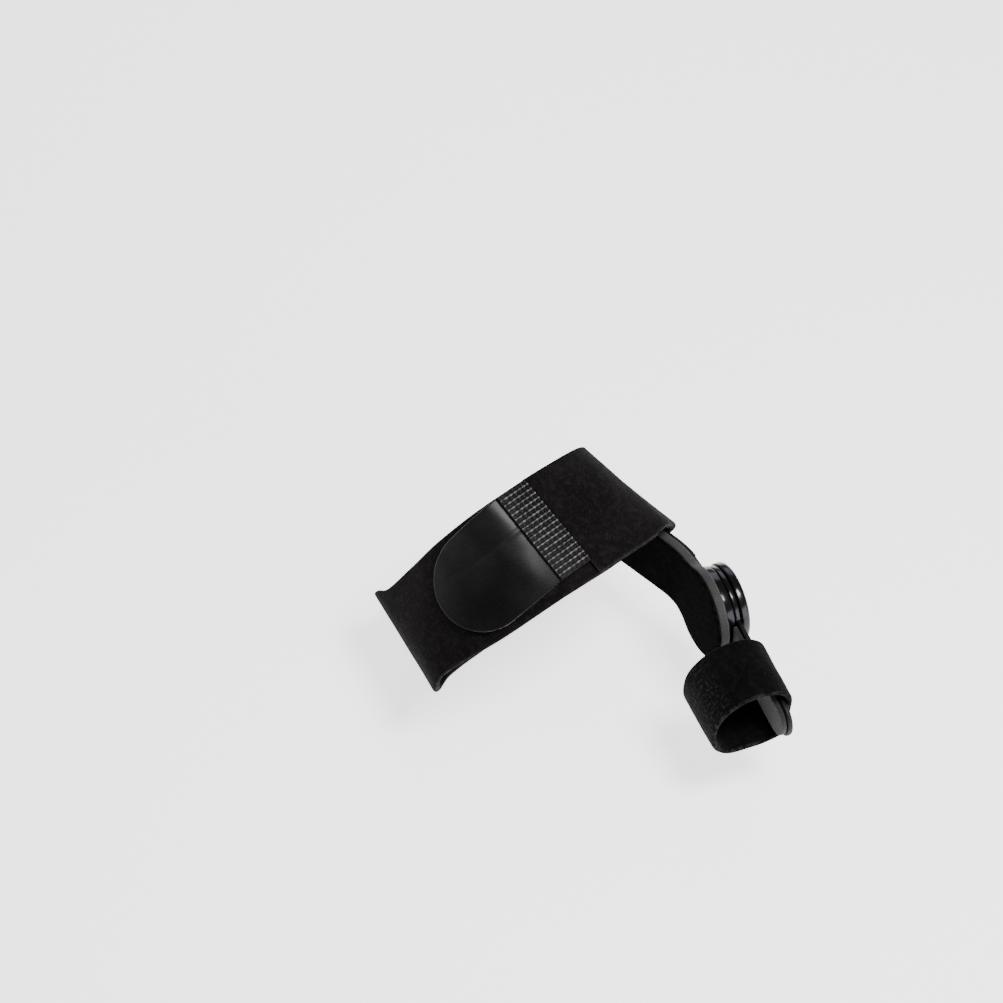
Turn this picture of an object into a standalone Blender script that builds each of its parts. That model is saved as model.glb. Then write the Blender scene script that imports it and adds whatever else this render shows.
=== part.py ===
# Bunion corrector for a right foot: a wide band round the midfoot, a side pad, two hinged arms
# and a narrow band round the big toe. Metres, +X to the toes, +Y to the inner side of the foot,
# +Z up. The origin is on the inner face of the midfoot band, under the sole.

import math

import bmesh
import bpy
from mathutils import Matrix, Vector

# Gaps
LAYER_GAP = 0.0003
END_GAP = 0.0004
RUNNING_GAP = 0.0004

# Midfoot band, shaped by the foot inside it
STRAP_WIDTH = 0.038
STRAP_THICKNESS = 0.0023
STRAP_LEAN = 0.56
OUTER_SIDE_REAR = 0.0345
OUTER_SIDE_FRONT = 0.0462
OUTER_SIDE_HEIGHT = 0.0120
OUTER_SIDE_FORWARD = 0.0024
INSTEP_HEIGHT_REAR = 0.0562
INSTEP_HEIGHT_FRONT = 0.0410
UNDER_END_FROM_CREST = 0.024
UNDER_END_CLEARANCE = 0.0016
STEP_DOWN_LENGTH = 0.014
STRAP_STEPS = 116
STRAP_ROWS = 5
REACH_PASSES = 3
LIFT_STEP = 0.0004

# Closure on the instep, measured from its crest towards the outer side of the foot
WELD_START = 0.0055
WELD_SLANT = 0.0016
WELD_LENGTH = 0.0105
WELD_THICKNESS = 0.0023
WELD_STEPS = 4
WELD_RIB_COUNT = 16
WELD_RIB_STEPS = 4
WELD_RIB_HEIGHT = 0.0005
TAB_LENGTH = 0.0341
TAB_WIDTH = 0.0330
TAB_THICKNESS = 0.001
TAB_ROUND_LENGTH = 0.0167
TAB_REAR_MARGIN = 0.0002
TAB_SKEW = 0.0047
TAB_STEPS = 9
TAB_ROUND_STEPS = 8
TAB_ROUND_SWEEP = math.radians(82.0)
TAB_ROWS = 5
HOOK_THICKNESS = 0.001
HOOK_INSET = 0.003

# Hinge beside the big toe's base joint
HINGE_X = 0.0623
HINGE_Y = 0.0435
HINGE_Z = 0.0137
HINGE_YAW = math.radians(-17.0)
HINGE_RADIUS = 0.0135
REAR_RING_THICKNESS = 0.0028
TOE_RING_THICKNESS = 0.0019
TOE_RING_RADIUS = 0.0131
CAP_THICKNESS = 0.0031
CAP_EDGE_RADIUS = 0.0012
CAP_EDGE_STEPS = 4
CAP_DISH_RADIUS = 0.0088
CAP_DISH_DEPTH = 0.0006
PIN_RADIUS = 0.003
PIN_SEAT_DEPTH = 0.0016
ROUND_SIDES = 48
RING_BEVEL = 0.0003
BORE_BEVEL = 0.0001

# Arms
ARM_THICKNESS = 0.0016
REAR_ARM_LENGTH = 0.073
REAR_ARM_HALF_HEIGHT = 0.0102
REAR_ARM_HEIGHT_AT_STRAP = 0.0126
REAR_ARM_YAW = math.radians(6.0)
REAR_ARM_STRAIGHT = 0.0125
REAR_ARM_BEND_RADIUS = 0.030
REAR_ARM_DROP_LENGTH = 0.025
ARM_END_ROUND = 0.008
ARM_END_POWER = 0.35
NECK_FLARE = 0.85
DISC_BLEND_POWER = 6
SIDE_ROUND_STEPS = 8
SIDE_ROUND_SWEEP = math.radians(84.0)
SIDE_STEPS = 14
SIDE_END_STEPS = 5
SIDE_END_SWEEP = math.radians(78.0)
SIDE_ROWS = 4
TOE_ARM_LENGTH = 0.0525
TOE_ARM_HALF_HEIGHT = 0.0066
TOE_ARM_PITCH = math.radians(-5.5)
TOE_ARM_IN_RING = 0.7
TOE_PLATE_STEPS = 8
TOE_TIP_STEPS = 6
TOE_TIP_SWEEP = math.radians(80.0)
TOE_PLATE_ROWS = 6

# Padding
PAD_THICKNESS = 0.0029
PAD_MARGIN = 0.0013
PAD_ROUND_RADIUS = 0.0155
LINING_THICKNESS = 0.001
TOE_PAD_THICKNESS = 0.0016
TOE_PAD_MARGIN = 0.0008
TOE_PAD_CLEARANCE = 0.0007

# Toe band
TOE_STRAP_WIDTH = 0.022
TOE_STRAP_THICKNESS = 0.0018
TOE_STRAP_FROM_HINGE = 0.024
TOE_ROOM_WIDTH = 0.0242
TOE_ROOM_LOW = -0.0005
TOE_ROOM_TOP_REAR = 0.0243
TOE_ROOM_TOP_FRONT = 0.0223
TOE_STRAP_STEPS = 56
TOE_STRAP_ROWS = 4

# Over the instep: side of the foot, then for each edge of the band the share of that side's
# width and the share of the rise from that side to the instep's crest
INSTEP_ROWS = (
    # side, rear_out, rear_up, front_out, front_up
    ("inner", 0.965, 0.17, 0.955, 0.19),
    ("inner", 0.750, 0.52, 0.825, 0.51),
    ("inner", 0.480, 0.875, 0.550, 0.850),
    ("crest", 0.120, 1.00, 0.190, 1.00),
    ("outer", 0.425, 1.010, 0.285, 0.900),
    ("outer", 0.745, 0.680, 0.640, 0.605),
    ("outer", 0.910, 0.290, 0.875, 0.310),
    ("outer", 1.000, -0.020, 1.000, 0.050),
)

# Under the sole, from the outer side to the inner side: share of the side's width and share of
# the outer side's height
SOLE_ROWS = (
    # side, out, up
    ("outer", 0.985, 0.50),
    ("outer", 0.920, 0.15),
    ("outer", 0.780, 0.00),
    ("outer", 0.420, 0.00),
    ("inner", 0.000, 0.00),
    ("inner", 0.420, 0.00),
    ("inner", 0.750, 0.00),
)
INNER_CORNER = 0.0024
INNER_CORNER_EASE = 0.3
WALL_MARGIN = 0.0008

# Round the toe, from its top over the outer side: share of the room's width measured from the
# arm's face, and share of the room's height
TOE_ROWS = (
    # out, up
    (0.46, 1.00),
    (0.74, 0.92),
    (0.94, 0.72),
    (1.00, 0.46),
    (0.95, 0.20),
    (0.78, 0.03),
    (0.50, 0.00),
    (0.20, 0.02),
)
# The same over the arm's upper edge, where up is the share of the rise from it to the room's top
TOE_SHOULDER_ROWS = (
    # out, up
    (0.05, 0.36),
    (0.20, 0.84),
)

COLLECTION_NAME = "bunion_corrector"
CUTTERS_NAME = "cutters"


# Scene and materials

def clear_scene():
    for thing in list(bpy.data.objects):
        bpy.data.objects.remove(thing, do_unlink=True)


def new_collection(name):
    collection = bpy.data.collections.new(name)
    bpy.context.scene.collection.children.link(collection)
    return collection


def plain_material(name, colour, roughness, metallic=0.0):
    material = bpy.data.materials.new(name)
    material.use_nodes = True
    shader = material.node_tree.nodes["Principled BSDF"]
    shader.inputs["Base Color"].default_value = (*colour, 1.0)
    shader.inputs["Roughness"].default_value = roughness
    shader.inputs["Metallic"].default_value = metallic
    return material


def add_object(name, mesh, collection, material):
    thing = bpy.data.objects.new(name, mesh)
    collection.objects.link(thing)
    mesh.materials.append(material)
    return thing


def solidify(thing, thickness):
    wall = thing.modifiers.new("wall", "SOLIDIFY")
    wall.thickness = thickness
    wall.offset = 1.0
    wall.use_even_offset = True


def sheet_mesh(name, rows, closed=False):
    """An open surface through rows of points; with closed, the last row joins the first."""
    mesh = bpy.data.meshes.new(name)
    per_row = len(rows[0])
    points = [tuple(point) for row in rows for point in row]
    spans = len(rows) if closed else len(rows) - 1
    faces = []
    for i in range(spans):
        here = i * per_row
        there = (i + 1) % len(rows) * per_row
        for j in range(per_row - 1):
            faces.append((here + j, here + j + 1, there + j + 1, there + j))
    mesh.from_pydata(points, [], faces)
    mesh.shade_smooth()
    return mesh


# Smooth closed curve through points, with centripetal spacing

def curve_point(points, place):
    """The curve at a place counted in points, from 0 to the number of points."""
    count = len(points)
    first = int(math.floor(place))
    share = place - first
    p0, p1, p2, p3 = (points[(first + k) % count] for k in (-1, 0, 1, 2))
    t0 = 0.0
    t1 = t0 + math.sqrt((p1 - p0).length)
    t2 = t1 + math.sqrt((p2 - p1).length)
    t3 = t2 + math.sqrt((p3 - p2).length)
    t = t1 + share * (t2 - t1)
    a1 = p0 * ((t1 - t) / (t1 - t0)) + p1 * ((t - t0) / (t1 - t0))
    a2 = p1 * ((t2 - t) / (t2 - t1)) + p2 * ((t - t1) / (t2 - t1))
    a3 = p2 * ((t3 - t) / (t3 - t2)) + p3 * ((t - t2) / (t3 - t2))
    b1 = a1 * ((t2 - t) / (t2 - t0)) + a2 * ((t - t0) / (t2 - t0))
    b2 = a2 * ((t3 - t) / (t3 - t1)) + a3 * ((t - t1) / (t3 - t1))
    return b1 * ((t2 - t) / (t2 - t1)) + b2 * ((t - t1) / (t2 - t1))


class Loop:
    """A closed band between a rear and a front edge, measured in metres along its middle."""

    SAMPLES = 24

    def __init__(self, rear_points, front_points):
        self.rear = rear_points
        self.front = front_points
        count = len(rear_points) * self.SAMPLES
        self.places = [i / self.SAMPLES for i in range(count + 1)]
        self.distances = [0.0]
        before = self.at_place(0.0, 0.5)
        for place in self.places[1:]:
            here = self.at_place(place, 0.5)
            self.distances.append(self.distances[-1] + (here - before).length)
            before = here
        self.girth = self.distances[-1]

    def at_place(self, place, across):
        place = place % len(self.rear)
        return curve_point(self.rear, place).lerp(curve_point(self.front, place), across)

    def place_at(self, around):
        around = around % self.girth
        low, high = 0, len(self.distances) - 1
        while high - low > 1:
            middle = (low + high) // 2
            if self.distances[middle] <= around:
                low = middle
            else:
                high = middle
        span = self.distances[high] - self.distances[low]
        share = (around - self.distances[low]) / span
        return self.places[low] + share * (self.places[high] - self.places[low])

    def point(self, around, across, lift=0.0):
        """A point lifted off the band's inner face, away from the foot."""
        place = self.place_at(around)
        here = self.at_place(place, across)
        if not lift:
            return here
        ahead = self.at_place(self.place_at(around + LIFT_STEP), across)
        behind = self.at_place(self.place_at(around - LIFT_STEP), across)
        side = self.at_place(place, 1.0) - self.at_place(place, 0.0)
        normal = side.cross(ahead - behind).normalized()
        return here + normal * lift


# Path of the arms beside the foot, seen from above

def heading(yaw):
    return Vector((math.cos(yaw), math.sin(yaw), 0.0))


def outward(yaw):
    return Vector((-math.sin(yaw), math.cos(yaw), 0.0))


HINGE_CENTRE = Vector((HINGE_X, HINGE_Y, HINGE_Z))
HINGE_AXIS = outward(HINGE_YAW)
# Faces along the hinge's axis, from the middle of the toe arm
TOE_RING_INNER = -TOE_RING_THICKNESS / 2
TOE_RING_OUTER = TOE_RING_THICKNESS / 2
REAR_RING_OUTER = TOE_RING_INNER - LAYER_GAP
REAR_RING_INNER = REAR_RING_OUTER - REAR_RING_THICKNESS
CAP_INNER = TOE_RING_OUTER + LAYER_GAP


def side_path(behind):
    """Where the rear arm's inner face runs at a distance behind the hinge, and its yaw."""
    start = HINGE_CENTRE + HINGE_AXIS * REAR_RING_INNER
    turn = REAR_ARM_YAW - HINGE_YAW
    arc = REAR_ARM_BEND_RADIUS * turn
    straight = min(behind, REAR_ARM_STRAIGHT)
    point = start - heading(HINGE_YAW) * straight
    if behind <= REAR_ARM_STRAIGHT:
        return point, HINGE_YAW
    turned = min(behind - REAR_ARM_STRAIGHT, arc) / REAR_ARM_BEND_RADIUS
    centre = point - HINGE_AXIS * REAR_ARM_BEND_RADIUS
    yaw = HINGE_YAW + turned
    point = centre + outward(yaw) * REAR_ARM_BEND_RADIUS
    rest = max(behind - REAR_ARM_STRAIGHT - arc, 0.0)
    return point - heading(yaw) * rest, yaw


def side_point(behind, height, off):
    """A point beside the foot: distance behind the hinge, height, distance off the arm's face."""
    point, yaw = side_path(behind)
    point = point + outward(yaw) * off
    return Vector((point.x, point.y, height))


def band_wall_y(x):
    """The midfoot band's inner face where it lies flat on the rear arm."""
    corner, yaw = side_path(REAR_ARM_LENGTH)
    corner = corner + outward(yaw) * (ARM_THICKNESS + LAYER_GAP)
    return corner.y + math.tan(yaw) * (x - corner.x)


# Midfoot band's edges

def edge_rows():
    """Pairs of rear and front edge places (side, out, z), round the foot from the crest."""
    wall_high = REAR_ARM_HEIGHT_AT_STRAP + REAR_ARM_HALF_HEIGHT + WALL_MARGIN
    wall_low = REAR_ARM_HEIGHT_AT_STRAP - REAR_ARM_HALF_HEIGHT - WALL_MARGIN

    def instep(row):
        side, rear_out, rear_up, front_out, front_up = row
        base = OUTER_SIDE_HEIGHT if side == "outer" else wall_high
        rear_z = base + rear_up * (INSTEP_HEIGHT_REAR - base)
        front_z = base + front_up * (INSTEP_HEIGHT_FRONT - base)
        return side, rear_out, rear_z, front_out, front_z

    crest = [row[0] for row in INSTEP_ROWS].index("crest")
    rows = [instep(row) for row in reversed(INSTEP_ROWS[: crest + 1])]
    for z in (wall_high, (wall_high + wall_low) / 2, wall_low):
        rows.append(("inner", 1.0, z, 1.0, z))
    near = INNER_CORNER * INNER_CORNER_EASE
    low = wall_low - near * 2
    rows.append(("corner", near, low, near, low))
    rows.append(("corner", INNER_CORNER, 0.0, INNER_CORNER, 0.0))
    for side, out, up in reversed(SOLE_ROWS):
        rows.append((side, out, up * OUTER_SIDE_HEIGHT, out, up * OUTER_SIDE_HEIGHT))
    rows += [instep(row) for row in reversed(INSTEP_ROWS[crest + 1:])]
    return rows


def edge_y(side, out, x, outer_half):
    if side == "outer":
        return -out * outer_half
    if side == "corner":
        return band_wall_y(x) - out
    return out * band_wall_y(x)


def foot_loop():
    rows = edge_rows()
    middles = []
    for side, rear_out, rear_z, front_out, front_z in rows:
        z = (rear_z + front_z) / 2
        x = STRAP_LEAN * z
        if side == "outer":
            x += OUTER_SIDE_FORWARD * ((rear_out + front_out) / 2) ** 2
        rear_y = edge_y(side, rear_out, x, OUTER_SIDE_REAR)
        front_y = edge_y(side, front_out, x, OUTER_SIDE_FRONT)
        middles.append(Vector((x, (rear_y + front_y) / 2, z)))
    rear_points, front_points = [], []
    for i, (side, rear_out, rear_z, front_out, front_z) in enumerate(rows):
        along = (middles[(i + 1) % len(rows)] - middles[i - 1]).normalized()
        x = middles[i].x
        rise = front_z - rear_z
        reach = STRAP_WIDTH / 2
        for _ in range(REACH_PASSES):
            rear_y = edge_y(side, rear_out, x - reach, OUTER_SIDE_REAR)
            front_y = edge_y(side, front_out, x + reach, OUTER_SIDE_FRONT)
            spread = front_y - rear_y
            drift = spread * along.y + rise * along.z
            a = 1.0 - along.x ** 2
            b = -2.0 * along.x * drift
            c = spread ** 2 + rise ** 2 - drift ** 2 - STRAP_WIDTH ** 2
            reach = (-b + math.sqrt(b * b - 4.0 * a * c)) / (2.0 * a) / 2
        rear_y = edge_y(side, rear_out, x - reach, OUTER_SIDE_REAR)
        front_y = edge_y(side, front_out, x + reach, OUTER_SIDE_FRONT)
        rear_points.append(Vector((x - reach, rear_y, rear_z)))
        front_points.append(Vector((x + reach, front_y, front_z)))
    return Loop(rear_points, front_points)


FOOT = foot_loop()
OVER_LIFT = STRAP_THICKNESS + LAYER_GAP


def smooth_step(share):
    share = min(max(share, 0.0), 1.0)
    return share * share * (3.0 - 2.0 * share)


def strap_lift(around):
    """How far the band's upper end is lifted by its under end."""
    past = around - UNDER_END_FROM_CREST - UNDER_END_CLEARANCE
    return OVER_LIFT * (1.0 - smooth_step(past / STEP_DOWN_LENGTH))


def weld_slant(across):
    """How much further from the crest the weld lies towards the band's rear edge."""
    return WELD_SLANT * (1.0 - across)


def midfoot_strap(collection, material):
    start = -WELD_START + END_GAP
    end = FOOT.girth + UNDER_END_FROM_CREST
    rows = []
    for i in range(STRAP_STEPS + 1):
        share = i / STRAP_STEPS
        row = []
        for j in range(STRAP_ROWS + 1):
            across = j / STRAP_ROWS
            around = start + (end - start) * share - weld_slant(across) * (1.0 - share)
            row.append(FOOT.point(around, across, strap_lift(around)))
        rows.append(row)
    thing = add_object("midfoot_strap", sheet_mesh("midfoot_strap", rows), collection, material)
    solidify(thing, STRAP_THICKNESS)


# Closure on the instep

def tab_edges(past_weld, inset=0.0):
    """Shares across the band of the tab's rear and front edges at a distance past the weld."""
    middle = TAB_REAR_MARGIN + TAB_WIDTH / 2 + TAB_SKEW * past_weld / TAB_LENGTH
    half = TAB_WIDTH / 2 - inset
    into_round = past_weld - (TAB_LENGTH - inset - TAB_ROUND_LENGTH)
    if into_round > 0.0:
        half *= math.sqrt(max(1.0 - (into_round / TAB_ROUND_LENGTH) ** 2, 0.0))
    return (middle - half) / STRAP_WIDTH, (middle + half) / STRAP_WIDTH


def tab_steps(length):
    """Distances along the tab, closer together towards its round end."""
    straight = length - TAB_ROUND_LENGTH
    steps = [straight * i / TAB_STEPS for i in range(TAB_STEPS)]
    for i in range(TAB_ROUND_STEPS + 1):
        turn = TAB_ROUND_SWEEP * i / TAB_ROUND_STEPS
        steps.append(straight + TAB_ROUND_LENGTH * math.sin(turn))
    return steps


def tab_sheet(name, lift, thickness, inset, collection, material):
    rows = []
    start = -WELD_START - WELD_LENGTH - END_GAP
    for past in tab_steps(TAB_LENGTH - inset):
        low, high = tab_edges(past, inset)
        shares = [high + (low - high) * j / TAB_ROWS for j in range(TAB_ROWS + 1)]
        rows.append([FOOT.point(start - past - weld_slant(share), share, lift) for share in shares])
    thing = add_object(name, sheet_mesh(name, rows), collection, material)
    solidify(thing, thickness)


def weld_strip(collection, material):
    """Crosswise it rises and falls in ribs that run along the band."""
    low, high = tab_edges(0.0)
    count = WELD_RIB_COUNT * WELD_RIB_STEPS
    mesh = bpy.data.meshes.new("weld_strip")
    shape = bmesh.new()
    lower, upper = [], []
    for i in range(WELD_STEPS + 1):
        past = WELD_LENGTH * i / WELD_STEPS
        rib_height = WELD_RIB_HEIGHT if 0 < i < WELD_STEPS else 0.0
        below, above = [], []
        for j in range(count + 1):
            across = low + (high - low) * j / count
            wave = 0.5 - 0.5 * math.cos(2.0 * math.pi * j / WELD_RIB_STEPS)
            top = OVER_LIFT + WELD_THICKNESS + rib_height * wave
            around = -WELD_START - past - weld_slant(across)
            below.append(shape.verts.new(FOOT.point(around, across, OVER_LIFT)))
            above.append(shape.verts.new(FOOT.point(around, across, top)))
        lower.append(below)
        upper.append(above)
    for i in range(WELD_STEPS):
        for side in (lower, upper):
            for j in range(count):
                shape.faces.new((side[i][j], side[i][j + 1], side[i + 1][j + 1], side[i + 1][j]))
        for j in (0, count):
            shape.faces.new((lower[i][j], upper[i][j], upper[i + 1][j], lower[i + 1][j]))
    for i in (0, WELD_STEPS):
        for j in range(count):
            shape.faces.new((lower[i][j], lower[i][j + 1], upper[i][j + 1], upper[i][j]))
    bmesh.ops.recalc_face_normals(shape, faces=shape.faces)
    shape.to_mesh(mesh)
    shape.free()
    add_object("weld_strip", mesh, collection, material)


# Plates and pads beside the foot

def side_height(behind):
    """Middle height of the rear arm, from the hinge back to the band."""
    drop = HINGE_Z - REAR_ARM_HEIGHT_AT_STRAP
    return HINGE_Z - drop * smooth_step(behind / REAR_ARM_DROP_LENGTH)


def side_half(behind, round_radius, neck, length):
    """Half height of a plate with a round end about the hinge and a rounded far end."""
    disc = math.sqrt(max(round_radius ** 2 - behind ** 2, 0.0))
    if behind <= 0.0:
        return disc
    arm = neck * smooth_step(behind / (round_radius * NECK_FLARE))
    into_end = behind - (length - ARM_END_ROUND)
    if into_end > 0.0:
        arm *= max(1.0 - (into_end / ARM_END_ROUND) ** 2, 0.0) ** ARM_END_POWER
    return (disc ** DISC_BLEND_POWER + arm ** DISC_BLEND_POWER) ** (1 / DISC_BLEND_POWER)


def side_steps(round_radius, length):
    """Distances behind the hinge, from the round front end to the far end."""
    steps = []
    for i in range(SIDE_ROUND_STEPS + 1):
        turn = SIDE_ROUND_SWEEP * (i / SIDE_ROUND_STEPS - 1.0)
        steps.append(round_radius * math.sin(turn))
    straight = length - ARM_END_ROUND
    steps += [straight * i / SIDE_STEPS for i in range(1, SIDE_STEPS)]
    for i in range(SIDE_END_STEPS + 1):
        turn = SIDE_END_SWEEP * i / SIDE_END_STEPS
        steps.append(straight + ARM_END_ROUND * math.sin(turn))
    return steps


def side_sheet(name, off, thickness, round_radius, neck, length, collection, material):
    rows = []
    for behind in side_steps(round_radius, length):
        half = side_half(behind, round_radius, neck, length)
        middle = side_height(behind)
        heights = [middle + half * (1.0 - 2.0 * j / SIDE_ROWS) for j in range(SIDE_ROWS + 1)]
        rows.append([side_point(behind, height, off) for height in heights])
    thing = add_object(name, sheet_mesh(name, rows), collection, material)
    solidify(thing, thickness)
    return thing


def along_axis(off):
    """Turns and places a shape whose own Z is the hinge's axis."""
    turn = HINGE_AXIS.to_track_quat("Z", "Y").to_matrix().to_4x4()
    return Matrix.Translation(HINGE_CENTRE + HINGE_AXIS * off) @ turn


def disc_mesh(name, radius, thickness, off, bevel):
    """A flat round plate on the hinge's axis, its inner face at off."""
    mesh = bpy.data.meshes.new(name)
    shape = bmesh.new()
    bmesh.ops.create_cone(
        shape, cap_ends=True, segments=ROUND_SIDES, radius1=radius, radius2=radius, depth=thickness
    )
    ends = [face for face in shape.faces if len(face.verts) == ROUND_SIDES]
    rim = [edge for face in ends for edge in face.edges]
    bmesh.ops.bevel(shape, geom=rim, offset=bevel, segments=1, affect="EDGES")
    bmesh.ops.transform(shape, matrix=along_axis(off + thickness / 2), verts=shape.verts)
    shape.to_mesh(mesh)
    shape.free()
    return mesh


def union_with(thing, other):
    join = thing.modifiers.new("join", "BOOLEAN")
    join.operation = "UNION"
    join.solver = "EXACT"
    join.object = other


def cut_with(thing, other):
    cut = thing.modifiers.new("cut", "BOOLEAN")
    cut.operation = "DIFFERENCE"
    cut.solver = "EXACT"
    cut.object = other


def hidden_tool(name, mesh, collection, material):
    tool = add_object(name, mesh, collection, material)
    tool.hide_render = True
    tool.display_type = "WIRE"
    return tool


def rear_arm(collection, cutters, material):
    plate = side_sheet(
        "rear_arm", 0.0, ARM_THICKNESS, HINGE_RADIUS - RUNNING_GAP, REAR_ARM_HALF_HEIGHT,
        REAR_ARM_LENGTH, collection, material
    )
    ring = disc_mesh("rear_ring", HINGE_RADIUS, REAR_RING_THICKNESS, REAR_RING_INNER, RING_BEVEL)
    union_with(plate, hidden_tool("rear_ring", ring, cutters, material))
    seat_depth = PIN_SEAT_DEPTH + RUNNING_GAP
    seat = disc_mesh(
        "pin_seat", PIN_RADIUS + RUNNING_GAP, seat_depth * 2, REAR_RING_OUTER - seat_depth, BORE_BEVEL
    )
    cut_with(plate, hidden_tool("pin_seat", seat, cutters, material))


def toe_point(ahead, height, off):
    """A point on the toe arm: distance ahead of the hinge, height across the arm, off its middle."""
    along = heading(HINGE_YAW) * math.cos(TOE_ARM_PITCH) + Vector((0.0, 0.0, math.sin(TOE_ARM_PITCH)))
    up = HINGE_AXIS.cross(along) * -1.0
    return HINGE_CENTRE + along * ahead + up * height + HINGE_AXIS * off


def toe_sheet(name, off, thickness, start_radius, half, length, collection, material):
    """A plate along the toe whose rear end is an arc about the hinge and whose tip is round."""
    rows = []
    straight = length - half
    for i in range(TOE_PLATE_STEPS + TOE_TIP_STEPS + 1):
        past = max(i - TOE_PLATE_STEPS, 0)
        turn = TOE_TIP_SWEEP * past / TOE_TIP_STEPS
        row = []
        for j in range(TOE_PLATE_ROWS + 1):
            height = half * (2.0 * j / TOE_PLATE_ROWS - 1.0)
            start = math.sqrt(start_radius ** 2 - height ** 2)
            share = min(i / TOE_PLATE_STEPS, 1.0)
            ahead = start + (straight - start) * share + half * math.sin(turn)
            row.append(toe_point(ahead, height * math.cos(turn), off))
        rows.append(row)
    thing = add_object(name, sheet_mesh(name, rows), collection, material)
    solidify(thing, thickness)
    return thing


def toe_arm(collection, cutters, material):
    plate = toe_sheet(
        "toe_arm", -ARM_THICKNESS / 2, ARM_THICKNESS, TOE_RING_RADIUS * TOE_ARM_IN_RING,
        TOE_ARM_HALF_HEIGHT, TOE_ARM_LENGTH, collection, material
    )
    ring = disc_mesh("toe_ring", TOE_RING_RADIUS, TOE_RING_THICKNESS, TOE_RING_INNER, RING_BEVEL)
    union_with(plate, hidden_tool("toe_ring", ring, cutters, material))
    bore = disc_mesh(
        "toe_bore", PIN_RADIUS + RUNNING_GAP, TOE_RING_THICKNESS * 2, -TOE_RING_THICKNESS, BORE_BEVEL
    )
    cut_with(plate, hidden_tool("toe_bore", bore, cutters, material))
    return plate


def hinge_cap(collection, material):
    """A turned cap with a dished face, and the pin on its inner side."""
    top = CAP_INNER + CAP_THICKNESS
    pin_end = REAR_RING_OUTER - PIN_SEAT_DEPTH
    profile = [(0.0, top - CAP_DISH_DEPTH), (CAP_DISH_RADIUS - CAP_DISH_DEPTH, top - CAP_DISH_DEPTH)]
    profile.append((CAP_DISH_RADIUS, top))
    for i in range(CAP_EDGE_STEPS + 1):
        turn = math.pi / 2 * (1.0 - i / CAP_EDGE_STEPS)
        profile.append((
            HINGE_RADIUS - CAP_EDGE_RADIUS + CAP_EDGE_RADIUS * math.cos(turn),
            top - CAP_EDGE_RADIUS + CAP_EDGE_RADIUS * math.sin(turn),
        ))
    profile += [(HINGE_RADIUS, CAP_INNER + LAYER_GAP), (HINGE_RADIUS - LAYER_GAP, CAP_INNER)]
    profile += [(PIN_RADIUS, CAP_INNER), (PIN_RADIUS, pin_end), (0.0, pin_end)]
    mesh = bpy.data.meshes.new("hinge_cap")
    points = [(radius, 0.0, height) for radius, height in profile]
    mesh.from_pydata(points, [(i, i + 1) for i in range(len(points) - 1)], [])
    thing = add_object("hinge_cap", mesh, collection, material)
    turned = thing.modifiers.new("turned", "SCREW")
    turned.steps = ROUND_SIDES
    turned.render_steps = ROUND_SIDES
    turned.use_merge_vertices = True
    turned.merge_threshold = 0.00001
    thing.matrix_world = along_axis(0.0)


# Toe band

def toe_loop():
    """The toe band's edges, in the frame of the toe arm's path."""
    wall = ARM_THICKNESS / 2 + LAYER_GAP
    reach = TOE_ARM_HALF_HEIGHT + WALL_MARGIN
    edges = []
    for ahead, top in (
        (TOE_STRAP_FROM_HINGE, TOE_ROOM_TOP_REAR),
        (TOE_STRAP_FROM_HINGE + TOE_STRAP_WIDTH, TOE_ROOM_TOP_FRONT),
    ):
        middle = HINGE_Z + math.tan(TOE_ARM_PITCH) * ahead
        arm_high = middle + reach
        places = [(out, TOE_ROOM_LOW + up * (top - TOE_ROOM_LOW)) for out, up in TOE_ROWS]
        places += [(0.0, middle - reach), (0.0, middle), (0.0, arm_high)]
        places += [(out, arm_high + up * (top - arm_high)) for out, up in TOE_SHOULDER_ROWS]
        base = HINGE_CENTRE + heading(HINGE_YAW) * ahead
        points = []
        for out, z in reversed(places):
            point = base + HINGE_AXIS * (wall - out * TOE_ROOM_WIDTH)
            points.append(Vector((point.x, point.y, z)))
        edges.append(points)
    return Loop(edges[0], edges[1])


def toe_strap(collection, material):
    loop = toe_loop()
    rows = []
    for i in range(TOE_STRAP_STEPS):
        around = loop.girth * i / TOE_STRAP_STEPS
        rows.append([loop.point(around, j / TOE_STRAP_ROWS) for j in range(TOE_STRAP_ROWS + 1)])
    thing = add_object("toe_strap", sheet_mesh("toe_strap", rows, closed=True), collection, material)
    solidify(thing, TOE_STRAP_THICKNESS)
    return thing


def turn_about_hinge(thing):
    """Moves a piece's origin onto the hinge's axis and leaves its shape where it is."""
    thing.data.transform(Matrix.Translation(-HINGE_CENTRE))
    thing.location = HINGE_CENTRE


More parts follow.
